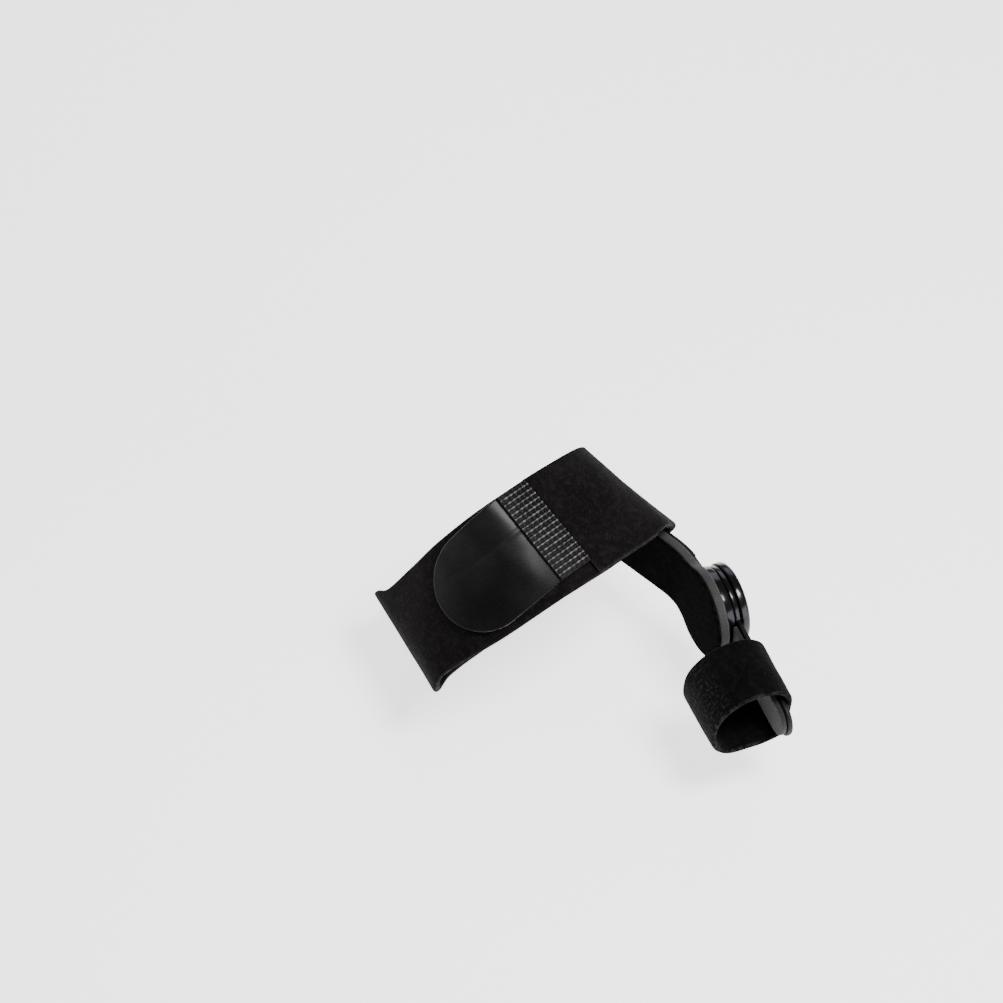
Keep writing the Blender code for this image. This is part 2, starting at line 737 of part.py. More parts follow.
def build():
    clear_scene()
    pieces = new_collection(COLLECTION_NAME)
    cutters = new_collection(CUTTERS_NAME)
    brushed = plain_material("brushed_band", (0.012, 0.011, 0.012), 0.95)
    film = plain_material("tab_film", (0.018, 0.018, 0.020), 0.35)
    hooks = plain_material("hook_tape", (0.015, 0.015, 0.015), 0.8)
    foam = plain_material("grey_foam", (0.075, 0.068, 0.068), 0.9)
    lining = plain_material("pad_lining", (0.010, 0.009, 0.009), 0.9)
    plastic = plain_material("black_plastic", (0.010, 0.010, 0.012), 0.18)

    midfoot_strap(pieces, brushed)
    tab_lift = OVER_LIFT + HOOK_THICKNESS + LAYER_GAP
    tab_sheet("hook_patch", OVER_LIFT, HOOK_THICKNESS, HOOK_INSET, pieces, hooks)
    tab_sheet("closure_tab", tab_lift, TAB_THICKNESS, 0.0, pieces, film)
    weld_strip(pieces, film)

    pad_neck = REAR_ARM_HALF_HEIGHT + PAD_MARGIN
    pad_length = REAR_ARM_LENGTH + PAD_MARGIN
    pad_off = -LAYER_GAP - PAD_THICKNESS
    lining_off = pad_off - LAYER_GAP - LINING_THICKNESS
    rear_arm(pieces, cutters, plastic)
    side_sheet(
        "side_pad", pad_off, PAD_THICKNESS, PAD_ROUND_RADIUS, pad_neck, pad_length, pieces, foam
    )
    side_sheet(
        "pad_lining", lining_off, LINING_THICKNESS, PAD_ROUND_RADIUS, pad_neck, pad_length,
        pieces, lining
    )
    hinge_cap(pieces, plastic)
    toe_pad = toe_sheet(
        "toe_pad", -ARM_THICKNESS / 2 - LAYER_GAP - TOE_PAD_THICKNESS, TOE_PAD_THICKNESS,
        HINGE_RADIUS + TOE_PAD_CLEARANCE, TOE_ARM_HALF_HEIGHT - TOE_PAD_MARGIN,
        TOE_ARM_LENGTH - TOE_PAD_MARGIN, pieces, foam
    )
    for thing in (toe_arm(pieces, cutters, plastic), toe_pad, toe_strap(pieces, brushed)):
        turn_about_hinge(thing)


build()
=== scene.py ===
import math

import bmesh
import bpy
from mathutils import Matrix, Vector, noise


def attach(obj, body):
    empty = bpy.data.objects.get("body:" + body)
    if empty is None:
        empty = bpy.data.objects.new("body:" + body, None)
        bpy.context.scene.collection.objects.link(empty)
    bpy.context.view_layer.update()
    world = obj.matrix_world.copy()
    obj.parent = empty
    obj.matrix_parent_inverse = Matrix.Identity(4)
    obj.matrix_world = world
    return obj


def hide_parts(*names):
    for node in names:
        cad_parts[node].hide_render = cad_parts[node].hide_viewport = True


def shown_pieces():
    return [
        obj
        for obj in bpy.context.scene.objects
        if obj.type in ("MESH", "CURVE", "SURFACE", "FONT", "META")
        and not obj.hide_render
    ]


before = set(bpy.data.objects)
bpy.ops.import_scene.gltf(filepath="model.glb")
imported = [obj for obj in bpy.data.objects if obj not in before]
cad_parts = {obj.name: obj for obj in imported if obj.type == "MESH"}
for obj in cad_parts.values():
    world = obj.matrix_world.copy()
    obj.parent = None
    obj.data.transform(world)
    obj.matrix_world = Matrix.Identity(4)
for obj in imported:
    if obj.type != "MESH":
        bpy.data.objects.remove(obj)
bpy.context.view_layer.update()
print("frame loaded")


class Wire:
    # one socket of a shader tree, so that values can be written as sums
    def __init__(self, look, socket):
        self.look = look
        self.socket = socket

    def maths(self, operation, other=None, swap=False):
        pair = [self] if other is None else ([other, self] if swap else [self, other])
        return self.look.node("ShaderNodeMath", {"operation": operation}, dict(enumerate(pair)))

    def __add__(self, other):
        return self.maths("ADD", other)

    def __rsub__(self, other):
        return self.maths("SUBTRACT", other, swap=True)

    def __mul__(self, other):
        return self.maths("MULTIPLY", other)

    def __pow__(self, other):
        return self.maths("POWER", other)

    __radd__ = __add__
    __rmul__ = __mul__

    def sine(self):
        return self.maths("SINE")

    def smallest(self, other):
        return self.maths("MINIMUM", other)

    def largest(self, other):
        return self.maths("MAXIMUM", other)

    def spread(self, low, high, newLow=0.0, newHigh=1.0):
        return self.look.node("ShaderNodeMapRange", {"interpolation_type": "SMOOTHSTEP"}, {
            "Value": self, "From Min": low, "From Max": high, "To Min": newLow, "To Max": newHigh})


class Look:
    # a material on the Principled shader
    def __init__(self, name, **constants):
        self.material = bpy.data.materials.new(name)
        self.material.use_nodes = True
        self.tree = self.material.node_tree
        self.shader = self.tree.nodes["Principled BSDF"]
        for socket, value in constants.items():
            self.shader.inputs[socket.replace("_", " ")].default_value = value

    def plug(self, socket, value):
        if isinstance(value, Wire):
            self.tree.links.new(value.socket, socket)
        else:
            socket.default_value = value

    def node(self, kind, settings=None, inputs=None, output=0):
        new = self.tree.nodes.new(kind)
        for key, value in (settings or {}).items():
            setattr(new, key, value)
        for key, value in (inputs or {}).items():
            self.plug(new.inputs[key], value)
        return Wire(self, new.outputs[output])

    def place(self):
        return self.node("ShaderNodeTexCoord", output="Object")

    def cloth(self):
        # millimetres along and across the piece
        return self.node("ShaderNodeUVMap", {"uv_map": "cloth"})

    def parts(self, vector):
        split = self.tree.nodes.new("ShaderNodeSeparateXYZ")
        self.plug(split.inputs[0], vector)
        return [Wire(self, socket) for socket in split.outputs]

    def stretched(self, vector, scale):
        return self.node("ShaderNodeVectorMath", {"operation": "MULTIPLY"}, {0: vector, 1: scale})

    def clouds(self, vector, scale, detail=2.0, roughness=0.5):
        return self.node("ShaderNodeTexNoise", {}, {
            "Vector": vector, "Scale": scale, "Detail": detail, "Roughness": roughness})

    def weave(self, along, across):
        # a grid of small humps, their spacing in mm
        u, v, _ = self.parts(self.cloth())
        return (u * (2.0 * math.pi / along)).sine() * (v * (2.0 * math.pi / across)).sine()

    def attribute(self, name):
        return self.node("ShaderNodeAttribute", {"attribute_name": name}, output="Fac")

    def blend(self, factor, first, second):
        mix = self.tree.nodes.new("ShaderNodeMix")
        mix.data_type = "RGBA"
        self.plug(mix.inputs[0], factor)
        for socket, colour in ((mix.inputs[6], first), (mix.inputs[7], second)):
            self.plug(socket, colour if isinstance(colour, Wire) else (*colour, 1.0))
        return Wire(self, mix.outputs[2])

    def bump(self, height, distance, strength=1.0):
        return self.node("ShaderNodeBump", {}, {"Height": height, "Distance": distance, "Strength": strength})

    def wear(self, **sockets):
        for socket, value in sockets.items():
            self.plug(self.shader.inputs[socket.replace("_", " ")], value)
        return self.material


def newPiece(name, mesh, material):
    mesh.shade_smooth()
    mesh.materials.clear()
    mesh.materials.append(material)
    piece = bpy.data.objects.new(name, mesh)
    bpy.context.scene.collection.objects.link(piece)
    return piece


def faceMesh(name, points, faces, corners=None, rims=None):
    # corners: for each face, the cloth coordinates in mm of each of its corners
    mesh = bpy.data.meshes.new(name)
    mesh.from_pydata([tuple(point) for point in points], [], faces)
    if corners:
        layer = mesh.uv_layers.new(name="cloth")
        flat = [pair for face in corners for pair in face]
        for spot, pair in zip(layer.data, flat):
            spot.uv = pair
    if rims:
        layer = mesh.attributes.new("rim", "FLOAT", "POINT")
        layer.data.foreach_set("value", rims)
    return mesh


def plateMesh(name, gridPoint, place, layers, rows, columns):
    # layers: how far the outline is drawn in at each height; full faces below and above
    points, coords, rims = [], [], []
    rimPlaces = [(0, j) for j in range(columns)] + [(i, columns) for i in range(rows)]
    rimPlaces += [(rows, j) for j in range(columns, 0, -1)] + [(i, 0) for i in range(rows, 0, -1)]
    outermost = min(inset for inset, off in layers)
    loops, grids = [], []
    for number, (inset, off) in enumerate(layers):
        whole = number in (0, len(layers) - 1)
        places = [(i, j) for i in range(rows + 1) for j in range(columns + 1)] if whole else rimPlaces
        numbers = {}
        for i, j in places:
            a, b = gridPoint(i, j, inset)
            numbers[i, j] = len(points)
            points.append(place(a, b, off))
            coords.append((a * 1000.0, b * 1000.0))
            rims.append(1.0 if inset <= outermost + 1e-6 else 0.0)
        loops.append([numbers[spot] for spot in rimPlaces])
        if whole:
            grids.append(numbers)
    faces = []
    for turn, numbers in zip((True, False), grids):
        for i in range(rows):
            for j in range(columns):
                face = [numbers[i, j], numbers[i + 1, j], numbers[i + 1, j + 1], numbers[i, j + 1]]
                faces.append(face if turn else face[::-1])
    for below, above in zip(loops, loops[1:]):
        for k in range(len(below)):
            n = (k + 1) % len(below)
            faces.append([below[k], below[n], above[n], above[k]])
    return faceMesh(name, points, faces, [[coords[v] for v in face] for face in faces], rims)


def roundEdge(thickness, radius, steps=4):
    # inset and height of each layer of a plate with rounded edges
    layers = []
    for k in range(steps + 1):
        turn = math.pi / 2 * k / steps
        layers.append((radius * (1.0 - math.sin(turn)), radius * (1.0 - math.cos(turn))))
    return layers + [(inset, thickness - off) for inset, off in reversed(layers)]


def turnedMesh(name, profile, sides=128):
    # a turned form: the profile runs from axis to axis, as radius and height
    points = [Vector((0.0, 0.0, profile[0][1]))]
    for radius, height in profile[1:-1]:
        for k in range(sides):
            turn = 2.0 * math.pi * k / sides
            points.append(Vector((radius * math.cos(turn), radius * math.sin(turn), height)))
    points.append(Vector((0.0, 0.0, profile[-1][1])))
    faces = []
    last = len(points) - 1
    for k in range(sides):
        n = (k + 1) % sides
        faces.append([0, 1 + n, 1 + k])
        for r in range(len(profile) - 3):
            low = 1 + r * sides
            faces.append([low + k, low + n, low + sides + n, low + sides + k])
        faces.append([last, last - sides + k, last - sides + n])
    return faceMesh(name, points, faces)


def joined(name, meshes):
    shape = bmesh.new()
    for mesh in meshes:
        shape.from_mesh(mesh)
    bmesh.ops.recalc_face_normals(shape, faces=shape.faces)
    mesh = bpy.data.meshes.new(name)
    shape.to_mesh(mesh)
    shape.free()
    return mesh


def smoothStep(share):
    share = min(max(share, 0.0), 1.0)
    return share * share * (3.0 - 2.0 * share)


# the worn form
hinge = {
    "centre": Vector((0.0623, 0.0435, 0.0137)),
    "yaw": math.radians(-17.0),
    "radius": 0.0135,
    "rearRing": 0.0028,
    "toeRing": 0.0019,
    "toeRingRadius": 0.0131,
    "cap": 0.0031,
    "ringEdge": 0.0005,
    "gap": 0.0003,
}

rearSide = {
    "length": 0.073, "halfHeight": 0.0102, "heightAtStrap": 0.0126, "yaw": math.radians(6.0),
    "straight": 0.0125, "bendRadius": 0.030, "dropLength": 0.025, "thickness": 0.0016, "endRound": 0.008,
}

toeSide = {
    "length": 0.0525, "halfHeight": 0.0066, "pitch": math.radians(-5.5), "thickness": 0.0016,
    "edgeRadius": 0.0005, "startShare": 0.7, "tipSweep": math.radians(84.0),
    "rows": 60, "tipRows": 24, "columns": 22,
}

foot = {
    "width": 0.038, "lean": 0.56,
    "outerRear": 0.0345, "outerFront": 0.0462, "outerHeight": 0.0120, "outerForward": 0.0024,
    "instepRear": 0.0562, "instepFront": 0.0410,
    "cornerSize": 0.0024, "cornerEase": 0.3, "wallMargin": 0.0008, "settleRounds": 3,
    # side of the foot, rear edge out and up, front edge out and up
    "instepRows": (
        ("inner", 0.965, 0.17, 0.955, 0.19),
        ("inner", 0.750, 0.52, 0.825, 0.51),
        ("inner", 0.480, 0.875, 0.550, 0.850),
        ("crest", 0.120, 1.00, 0.190, 1.00),
        ("outer", 0.425, 1.010, 0.285, 0.900),
        ("outer", 0.745, 0.680, 0.640, 0.605),
        ("outer", 0.910, 0.290, 0.875, 0.310),
        ("outer", 1.000, -0.020, 1.000, 0.050),
    ),
    "soleRows": (
        ("outer", 0.985, 0.50),
        ("outer", 0.920, 0.15),
        ("outer", 0.780, 0.00),
        ("outer", 0.420, 0.00),
        ("inner", 0.000, 0.00),
        ("inner", 0.420, 0.00),
        ("inner", 0.750, 0.00),
    ),
}


def heading(yaw):
    return Vector((math.cos(yaw), math.sin(yaw), 0.0))


def outward(yaw):
    return Vector((-math.sin(yaw), math.cos(yaw), 0.0))


hingeAxis = outward(hinge["yaw"])
toeInner = -hinge["toeRing"] / 2
rearOuter = toeInner - hinge["gap"]
rearInner = rearOuter - hinge["rearRing"]
capInner = hinge["toeRing"] / 2 + hinge["gap"]


def sidePath(behind):
    start = hinge["centre"] + hingeAxis * rearInner
    radius = rearSide["bendRadius"]
    arc = radius * (rearSide["yaw"] - hinge["yaw"])
    point = start - heading(hinge["yaw"]) * min(behind, rearSide["straight"])
    if behind <= rearSide["straight"]:
        return point, hinge["yaw"]
    turned = min(behind - rearSide["straight"], arc) / radius
    yaw = hinge["yaw"] + turned
    point = point - hingeAxis * radius + outward(yaw) * radius
    return point - heading(yaw) * max(behind - rearSide["straight"] - arc, 0.0), yaw


def sidePoint(behind, height, off):
    point, yaw = sidePath(behind)
    point = point + outward(yaw) * off
    return Vector((point.x, point.y, height))


def sideHeight(behind):
    drop = hinge["centre"].z - rearSide["heightAtStrap"]
    return hinge["centre"].z - drop * smoothStep(behind / rearSide["dropLength"])


def curvePoint(points, place):
    count = len(points)
    first = int(math.floor(place))
    share = place - first
    p0, p1, p2, p3 = (points[(first + k) % count] for k in (-1, 0, 1, 2))
    t0 = 0.0
    t1 = t0 + math.sqrt((p1 - p0).length)
    t2 = t1 + math.sqrt((p2 - p1).length)
    t3 = t2 + math.sqrt((p3 - p2).length)
    t = t1 + share * (t2 - t1)
    a1 = p0 * ((t1 - t) / (t1 - t0)) + p1 * ((t - t0) / (t1 - t0))
    a2 = p1 * ((t2 - t) / (t2 - t1)) + p2 * ((t - t1) / (t2 - t1))
    a3 = p2 * ((t3 - t) / (t3 - t2)) + p3 * ((t - t2) / (t3 - t2))
    b1 = a1 * ((t2 - t) / (t2 - t0)) + a2 * ((t - t0) / (t2 - t0))
    b2 = a2 * ((t3 - t) / (t3 - t1)) + a3 * ((t - t1) / (t3 - t1))
    return b1 * ((t2 - t) / (t2 - t1)) + b2 * ((t - t1) / (t2 - t1))


class Loop:
    # a closed band between a rear and a front edge, measured in metres round its middle
    def __init__(self, rear, front, samples=24, step=0.0004):
        self.rear, self.front, self.step = rear, front, step
        self.places = [i / samples for i in range(len(rear) * samples + 1)]
        self.distances = [0.0]
        before = self.middle(0.0)
        for place in self.places[1:]:
            here = self.middle(place)
            self.distances.append(self.distances[-1] + (here - before).length)
            before = here
        self.girth = self.distances[-1]
        self.known = {}

    def edges(self, place):
        place = place % len(self.rear)
        return curvePoint(self.rear, place), curvePoint(self.front, place)

    def middle(self, place):
        rear, front = self.edges(place)
        return rear.lerp(front, 0.5)

    def placeAt(self, around):
        around = around % self.girth
        low, high = 0, len(self.distances) - 1
        while high - low > 1:
            half = (low + high) // 2
            if self.distances[half] <= around:
                low = half
            else:
                high = half
        share = (around - self.distances[low]) / (self.distances[high] - self.distances[low])
        return self.places[low] + share * (self.places[high] - self.places[low])

    def station(self, around):
        key = round(around, 7)
        if key not in self.known:
            here = self.edges(self.placeAt(around))
            ahead = self.edges(self.placeAt(around + self.step))
            behind = self.edges(self.placeAt(around - self.step))
            self.known[key] = (here[0], here[1], ahead[0] - behind[0], ahead[1] - behind[1])
        return self.known[key]

    def normal(self, around, across):
        rear, front, rearRun, frontRun = self.station(around)
        return (front - rear).cross(rearRun.lerp(frontRun, across)).normalized()

    def point(self, around, across, lift=0.0):
        rear, front, rearRun, frontRun = self.station(around)
        return rear.lerp(front, across) + self.normal(around, across) * lift


def bandWallY(x):
    corner, yaw = sidePath(rearSide["length"])
    corner = corner + outward(yaw) * (rearSide["thickness"] + hinge["gap"])
    return corner.y + math.tan(yaw) * (x - corner.x)


def edgeY(side, out, x, outerHalf):
    if side == "outer":
        return -out * outerHalf
    if side == "corner":
        return bandWallY(x) - out
    return out * bandWallY(x)


def footEdgeRows():
    reach = rearSide["halfHeight"] + foot["wallMargin"]
    wallHigh, wallLow = rearSide["heightAtStrap"] + reach, rearSide["heightAtStrap"] - reach

    def instep(row):
        side, rearOut, rearUp, frontOut, frontUp = row
        base = foot["outerHeight"] if side == "outer" else wallHigh
        rearZ = base + rearUp * (foot["instepRear"] - base)
        return side, rearOut, rearZ, frontOut, base + frontUp * (foot["instepFront"] - base)

    rows = [instep(row) for row in reversed(foot["instepRows"][:4])]
    rows += [("inner", 1.0, z, 1.0, z) for z in (wallHigh, (wallHigh + wallLow) / 2, wallLow)]
    near = foot["cornerSize"] * foot["cornerEase"]
    low = wallLow - near * 2
    rows.append(("corner", near, low, near, low))
    rows.append(("corner", foot["cornerSize"], 0.0, foot["cornerSize"], 0.0))
    for side, out, up in reversed(foot["soleRows"]):
        rows.append((side, out, up * foot["outerHeight"], out, up * foot["outerHeight"]))
    return rows + [instep(row) for row in reversed(foot["instepRows"][4:])]


def footLoop():
    rows = footEdgeRows()
    outerRear, outerFront = foot["outerRear"], foot["outerFront"]
    middles = []
    for side, rearOut, rearZ, frontOut, frontZ in rows:
        z = (rearZ + frontZ) / 2
        x = foot["lean"] * z
        if side == "outer":
            x += foot["outerForward"] * ((rearOut + frontOut) / 2) ** 2
        y = (edgeY(side, rearOut, x, outerRear) + edgeY(side, frontOut, x, outerFront)) / 2
        middles.append(Vector((x, y, z)))
    rear, front = [], []
    for i, (side, rearOut, rearZ, frontOut, frontZ) in enumerate(rows):
        along = (middles[(i + 1) % len(rows)] - middles[i - 1]).normalized()
        x, rise, reach = middles[i].x, frontZ - rearZ, foot["width"] / 2
        for _ in range(foot["settleRounds"]):
            spread = edgeY(side, frontOut, x + reach, outerFront) - edgeY(side, rearOut, x - reach, outerRear)
            drift = spread * along.y + rise * along.z
            a = 1.0 - along.x ** 2
            b = -2.0 * along.x * drift
            c = spread ** 2 + rise ** 2 - drift ** 2 - foot["width"] ** 2
            reach = (-b + math.sqrt(b * b - 4.0 * a * c)) / (2.0 * a) / 2
        rear.append(Vector((x - reach, edgeY(side, rearOut, x - reach, outerRear), rearZ)))
        front.append(Vector((x + reach, edgeY(side, frontOut, x + reach, outerFront), frontZ)))
    return Loop(rear, front)


footBand = footLoop()
print("foot loop", round(footBand.girth, 4))


def brushedCloth(name, dark, light, speck=1.0, sheen=0.03, patch=None):
    # brushed loop cloth: short pile over a fine knit
    look = Look(name, Sheen_Weight=sheen, Sheen_Roughness=0.4, Specular_IOR_Level=sheen)
    place = look.place()
    pile = look.clouds(place, 2100.0, 3.0, 0.65)
    tuft = look.clouds(place, 520.0, 2.0, 0.55)
    drift = look.clouds(place, 60.0, 2.0, 0.5)
    knit = look.weave(0.62, 0.62)
    fleck = pile.spread(0.56, 0.74)
    tone = fleck * 0.60 * speck + tuft.spread(0.42, 0.75) * 0.15
    tone = tone + drift.spread(0.35, 0.7) * 0.07 + knit * 0.08 + 0.06
    rough = pile.spread(0.3, 0.7, 0.98, 0.82)
    height = pile * 0.6 + tuft * 0.55 + knit * 0.14
    if patch:
        # coarser loops on one stretch of the band
        low, high = patch
        u, _, _ = look.parts(look.cloth())
        loops = look.clouds(look.stretched(look.cloth(), (1.05, 1.05, 1.0)), 1.0, 1.0, 0.4)
        mask = u.spread(low, low + 4.0) * (1.0 - u.spread(high - 4.0, high))
        tone = tone + mask * loops.spread(0.50, 0.68) * 0.75
        height = height + mask * loops * 2.2
    # edges lighter in patches: worn fibres with a painted edge highlight
    wearAndHighlight = look.attribute("rim") * tuft.spread(0.4, 0.62)
    colour = look.blend(tone.smallest(1.0).largest(0.0), dark, light)
    colour = look.blend(wearAndHighlight * 0.4, colour, tuple(1.6 * part for part in light))
    return look.wear(Base_Color=colour, Roughness=rough, Normal=look.bump(height, 0.00022, 0.75))


def satinFilm(name):
    # thin film over cloth: the knit shows through as a fine mesh, glossier by the weld
    look = Look(name, Specular_IOR_Level=0.07, Coat_Roughness=0.36)
    place = look.place()
    u, v, _ = look.parts(look.cloth())
    mesh = look.weave(0.56, 0.56)
    haze = look.clouds(place, 95.0, 3.0, 0.6)
    grain = look.clouds(place, 2600.0, 2.0, 0.5)
    rough = haze.spread(0.3, 0.72, 0.36, 0.43) + grain * 0.07
    gloss = (1.0 - u.spread(2.0, 27.0)) * (1.0 - v.spread(8.0, 34.0))
    scuffs = look.clouds(look.stretched(look.cloth(), (0.06, 0.9, 1.0)), 1.0, 3.0, 0.6)
    # a broken light line along the edges, strongest on the front side: worn cut fibres with a painted edge
    # highlight
    wearAndHighlight = look.attribute("rim") * look.clouds(place, 900.0, 2.0, 0.6).spread(0.34, 0.54)
    wearAndHighlight = wearAndHighlight * v.spread(22.0, 31.0, 0.15, 1.0)
    colour = look.blend(haze.spread(0.3, 0.75), (0.0018, 0.0016, 0.0016), (0.0034, 0.0031, 0.0031))
    shown = mesh.spread(0.1, 0.9) * 0.5 + scuffs.spread(0.62, 0.78) * 0.3
    colour = look.blend(shown, colour, (0.018, 0.0172, 0.0172))
    colour = look.blend(wearAndHighlight * 0.9, colour, (0.19, 0.178, 0.168))
    puckers = look.clouds(look.stretched(look.cloth(), (0.09, 0.28, 1.0)), 1.0, 2.0)
    height = mesh * 0.6 + grain * 0.5 + puckers * 9.0
    coat = gloss * haze.spread(0.3, 0.7, 0.20, 0.30) + 0.02
    return look.wear(Base_Color=colour, Roughness=rough, Coat_Weight=coat,
                     Normal=look.bump(height, 0.00006, 0.6))


def weldedFilm(name):
    # pressed film: the ridges between the rows of dimples carry a painted highlight that varies in patches,
    # the dimples keep the film's own dark colour
    look = Look(name, Specular_IOR_Level=0.12)
    place = look.place()
    grain = look.clouds(place, 1700.0, 3.0, 0.6)
    wearAndHighlight = look.clouds(place, 420.0, 3.0, 0.65)
    ridge = look.attribute("rim")
    colour = look.blend(wearAndHighlight.spread(0.3, 0.75), (0.0010, 0.0009, 0.0010), (0.0026, 0.0025, 0.0028))
    # painted highlight on the ridge tops
    colour = look.blend(ridge ** 2.0 * wearAndHighlight.spread(0.34, 0.62, 0.30, 1.0), colour, (0.135, 0.127, 0.127))
    rough = grain.spread(0.3, 0.7, 0.38, 0.55)
    return look.wear(Base_Color=colour, Roughness=rough, Coat_Weight=ridge * 0.08,
                     Normal=look.bump(grain, 0.00005, 0.4))


def hookTape(name):
    # rows of small hooks
    look = Look(name, Specular_IOR_Level=0.4)
    hookRows = look.weave(1.1, 0.8)
    grain = look.clouds(look.place(), 1500.0, 2.0, 0.5)
    colour = look.blend(grain, (0.008, 0.008, 0.008), (0.028, 0.027, 0.027))
    return look.wear(Base_Color=colour, Roughness=grain.spread(0.3, 0.7, 0.5, 0.75),
                     Normal=look.bump(hookRows.spread(-0.2, 0.9) + grain * 0.4, 0.0003, 0.8))


def closedFoam(name, dark, light):
    # closed-cell foam with a cut edge: tiny cells and a few bigger pits
    look = Look(name, Sheen_Weight=0.15, Sheen_Roughness=0.6, Specular_IOR_Level=0.25)
    place = look.place()
    cells = look.node("ShaderNodeTexVoronoi", {"feature": "F1"}, {"Vector": place, "Scale": 2300.0})
    pits = look.node("ShaderNodeTexVoronoi", {"feature": "F1"}, {"Vector": place, "Scale": 760.0})
    drift = look.clouds(place, 140.0, 3.0, 0.6)
    tone = cells.spread(0.15, 0.75) * 0.45 + drift.spread(0.3, 0.7) * 0.45 + pits.spread(0.1, 0.45) * 0.15
    colour = look.blend(tone.smallest(1.0), dark, light)
    height = cells * 0.7 + pits.spread(0.0, 0.35) * 0.8
    return look.wear(Base_Color=colour, Roughness=drift.spread(0.3, 0.7, 0.82, 0.95),
                     Normal=look.bump(height, 0.00018, 0.6))


def blackPlastic(name):
    # moulded plastic: polished about the hinge, satin along the arms, with faint rubbing marks
    look = Look(name, Specular_IOR_Level=0.25, Coat_Roughness=0.12)
    place = look.place()
    flow = look.clouds(place, 110.0, 3.0, 0.55)
    rubbed = look.clouds(look.stretched(place, (260.0, 1400.0, 900.0)), 1.0, 3.0, 0.65)
    grain = look.clouds(place, 3000.0, 1.0, 0.5)
    ends = {0: place, 1: tuple(hinge["centre"])}
    away = look.node("ShaderNodeVectorMath", {"operation": "DISTANCE"}, ends, "Value")
    satin = away.spread(0.0142, 0.0156)
    colour = look.blend(flow.spread(0.3, 0.7), (0.0014, 0.0013, 0.0017), (0.0030, 0.0029, 0.0038))
    rough = flow.spread(0.3, 0.7, 0.14, 0.26) + rubbed.spread(0.6, 0.8) * 0.14 + satin * 0.34
    coat = (1.0 - satin) * flow.spread(0.3, 0.7, 0.24, 0.14)
    height = flow * 6.0 + grain * 0.3
    return look.wear(Base_Color=colour, Roughness=rough, Coat_Weight=coat,
                     Normal=look.bump(height, 0.00004, 0.5))


finishes = {
    "band": brushedCloth("brushedBand", (0.0019, 0.0015, 0.0015), (0.031, 0.0265, 0.0260)),
    "toeBand": brushedCloth("brushedToeBand", (0.0012, 0.0010, 0.0010), (0.017, 0.0155, 0.0155), 0.9,
                            patch=(44.0, 68.0)),
    "lining": brushedCloth("brushedLining", (0.0012, 0.0010, 0.0010), (0.011, 0.0098, 0.0098), 0.8, 0.005),
    "film": satinFilm("tabFilm"),
    "weld": weldedFilm("weldedFilm"),
    "hooks": hookTape("hookTape"),
    "foam": closedFoam("greyFoam", (0.016, 0.0145, 0.0145), (0.040, 0.0365, 0.036)),
    # the toe pad is the grey foam painted darker: painted shade
    "toeFoamPaintedShade": closedFoam("greyFoamPaintedShade", (0.005, 0.0046, 0.0046), (0.013, 0.012, 0.012)),
    "plastic": blackPlastic("blackPlastic"),
}
print("finishes made")


midfoot = {
    "thickness": 0.0023,
    "edgeRadius": 0.0009,
    "weldStart": 0.0055,
    "weldLength": 0.0105,
    "weldSlant": 0.0016,
    "slantFade": 0.02,
    "underEnd": 0.024,
    "underEndClearance": 0.0016,
    "stepDown": 0.014,
    "endGap": 0.0004,
    "rippleHeight": 0.00010,
    "rippleSize": 0.011,
    "rows": 460,
    "columns": 34,
}
overLift = midfoot["thickness"] + hinge["gap"]


def bandLift(around):
    past = around - midfoot["underEnd"] - midfoot["underEndClearance"]
    return overLift * (1.0 - smoothStep(past / midfoot["stepDown"]))


def weldSlant(b):
    # how much further from the crest the weld lies towards the band's rear edge
    return midfoot["weldSlant"] * (1.0 - b / foot["width"])


def midfootBand():
    start = -midfoot["weldStart"] + midfoot["endGap"]
    end = footBand.girth + midfoot["underEnd"]
    rows, columns, width = midfoot["rows"], midfoot["columns"], foot["width"]

    def gridPoint(i, j, inset):
        around = start + inset + (end - start - 2 * inset) * i / rows
        return around, inset + (width - 2 * inset) * j / columns

    def place(a, b, off):
        swell = 0.0
        if off > midfoot["thickness"] / 2:
            spot = Vector((a, b, 0.0)) / midfoot["rippleSize"]
            swell = noise.noise(spot) * midfoot["rippleHeight"]
        around = a - weldSlant(b) * (1.0 - smoothStep((a - start) / midfoot["slantFade"]))
        return footBand.point(around, b / width, bandLift(around) + off + swell)

    layers = roundEdge(midfoot["thickness"], midfoot["edgeRadius"])
    mesh = plateMesh("midfootBand", gridPoint, place, layers, rows, columns)
    piece = newPiece("midfootBand", mesh, finishes["band"])
    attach(piece, "foot_part")
    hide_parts("midfoot_strap")


midfootBand()
print("midfoot band made")


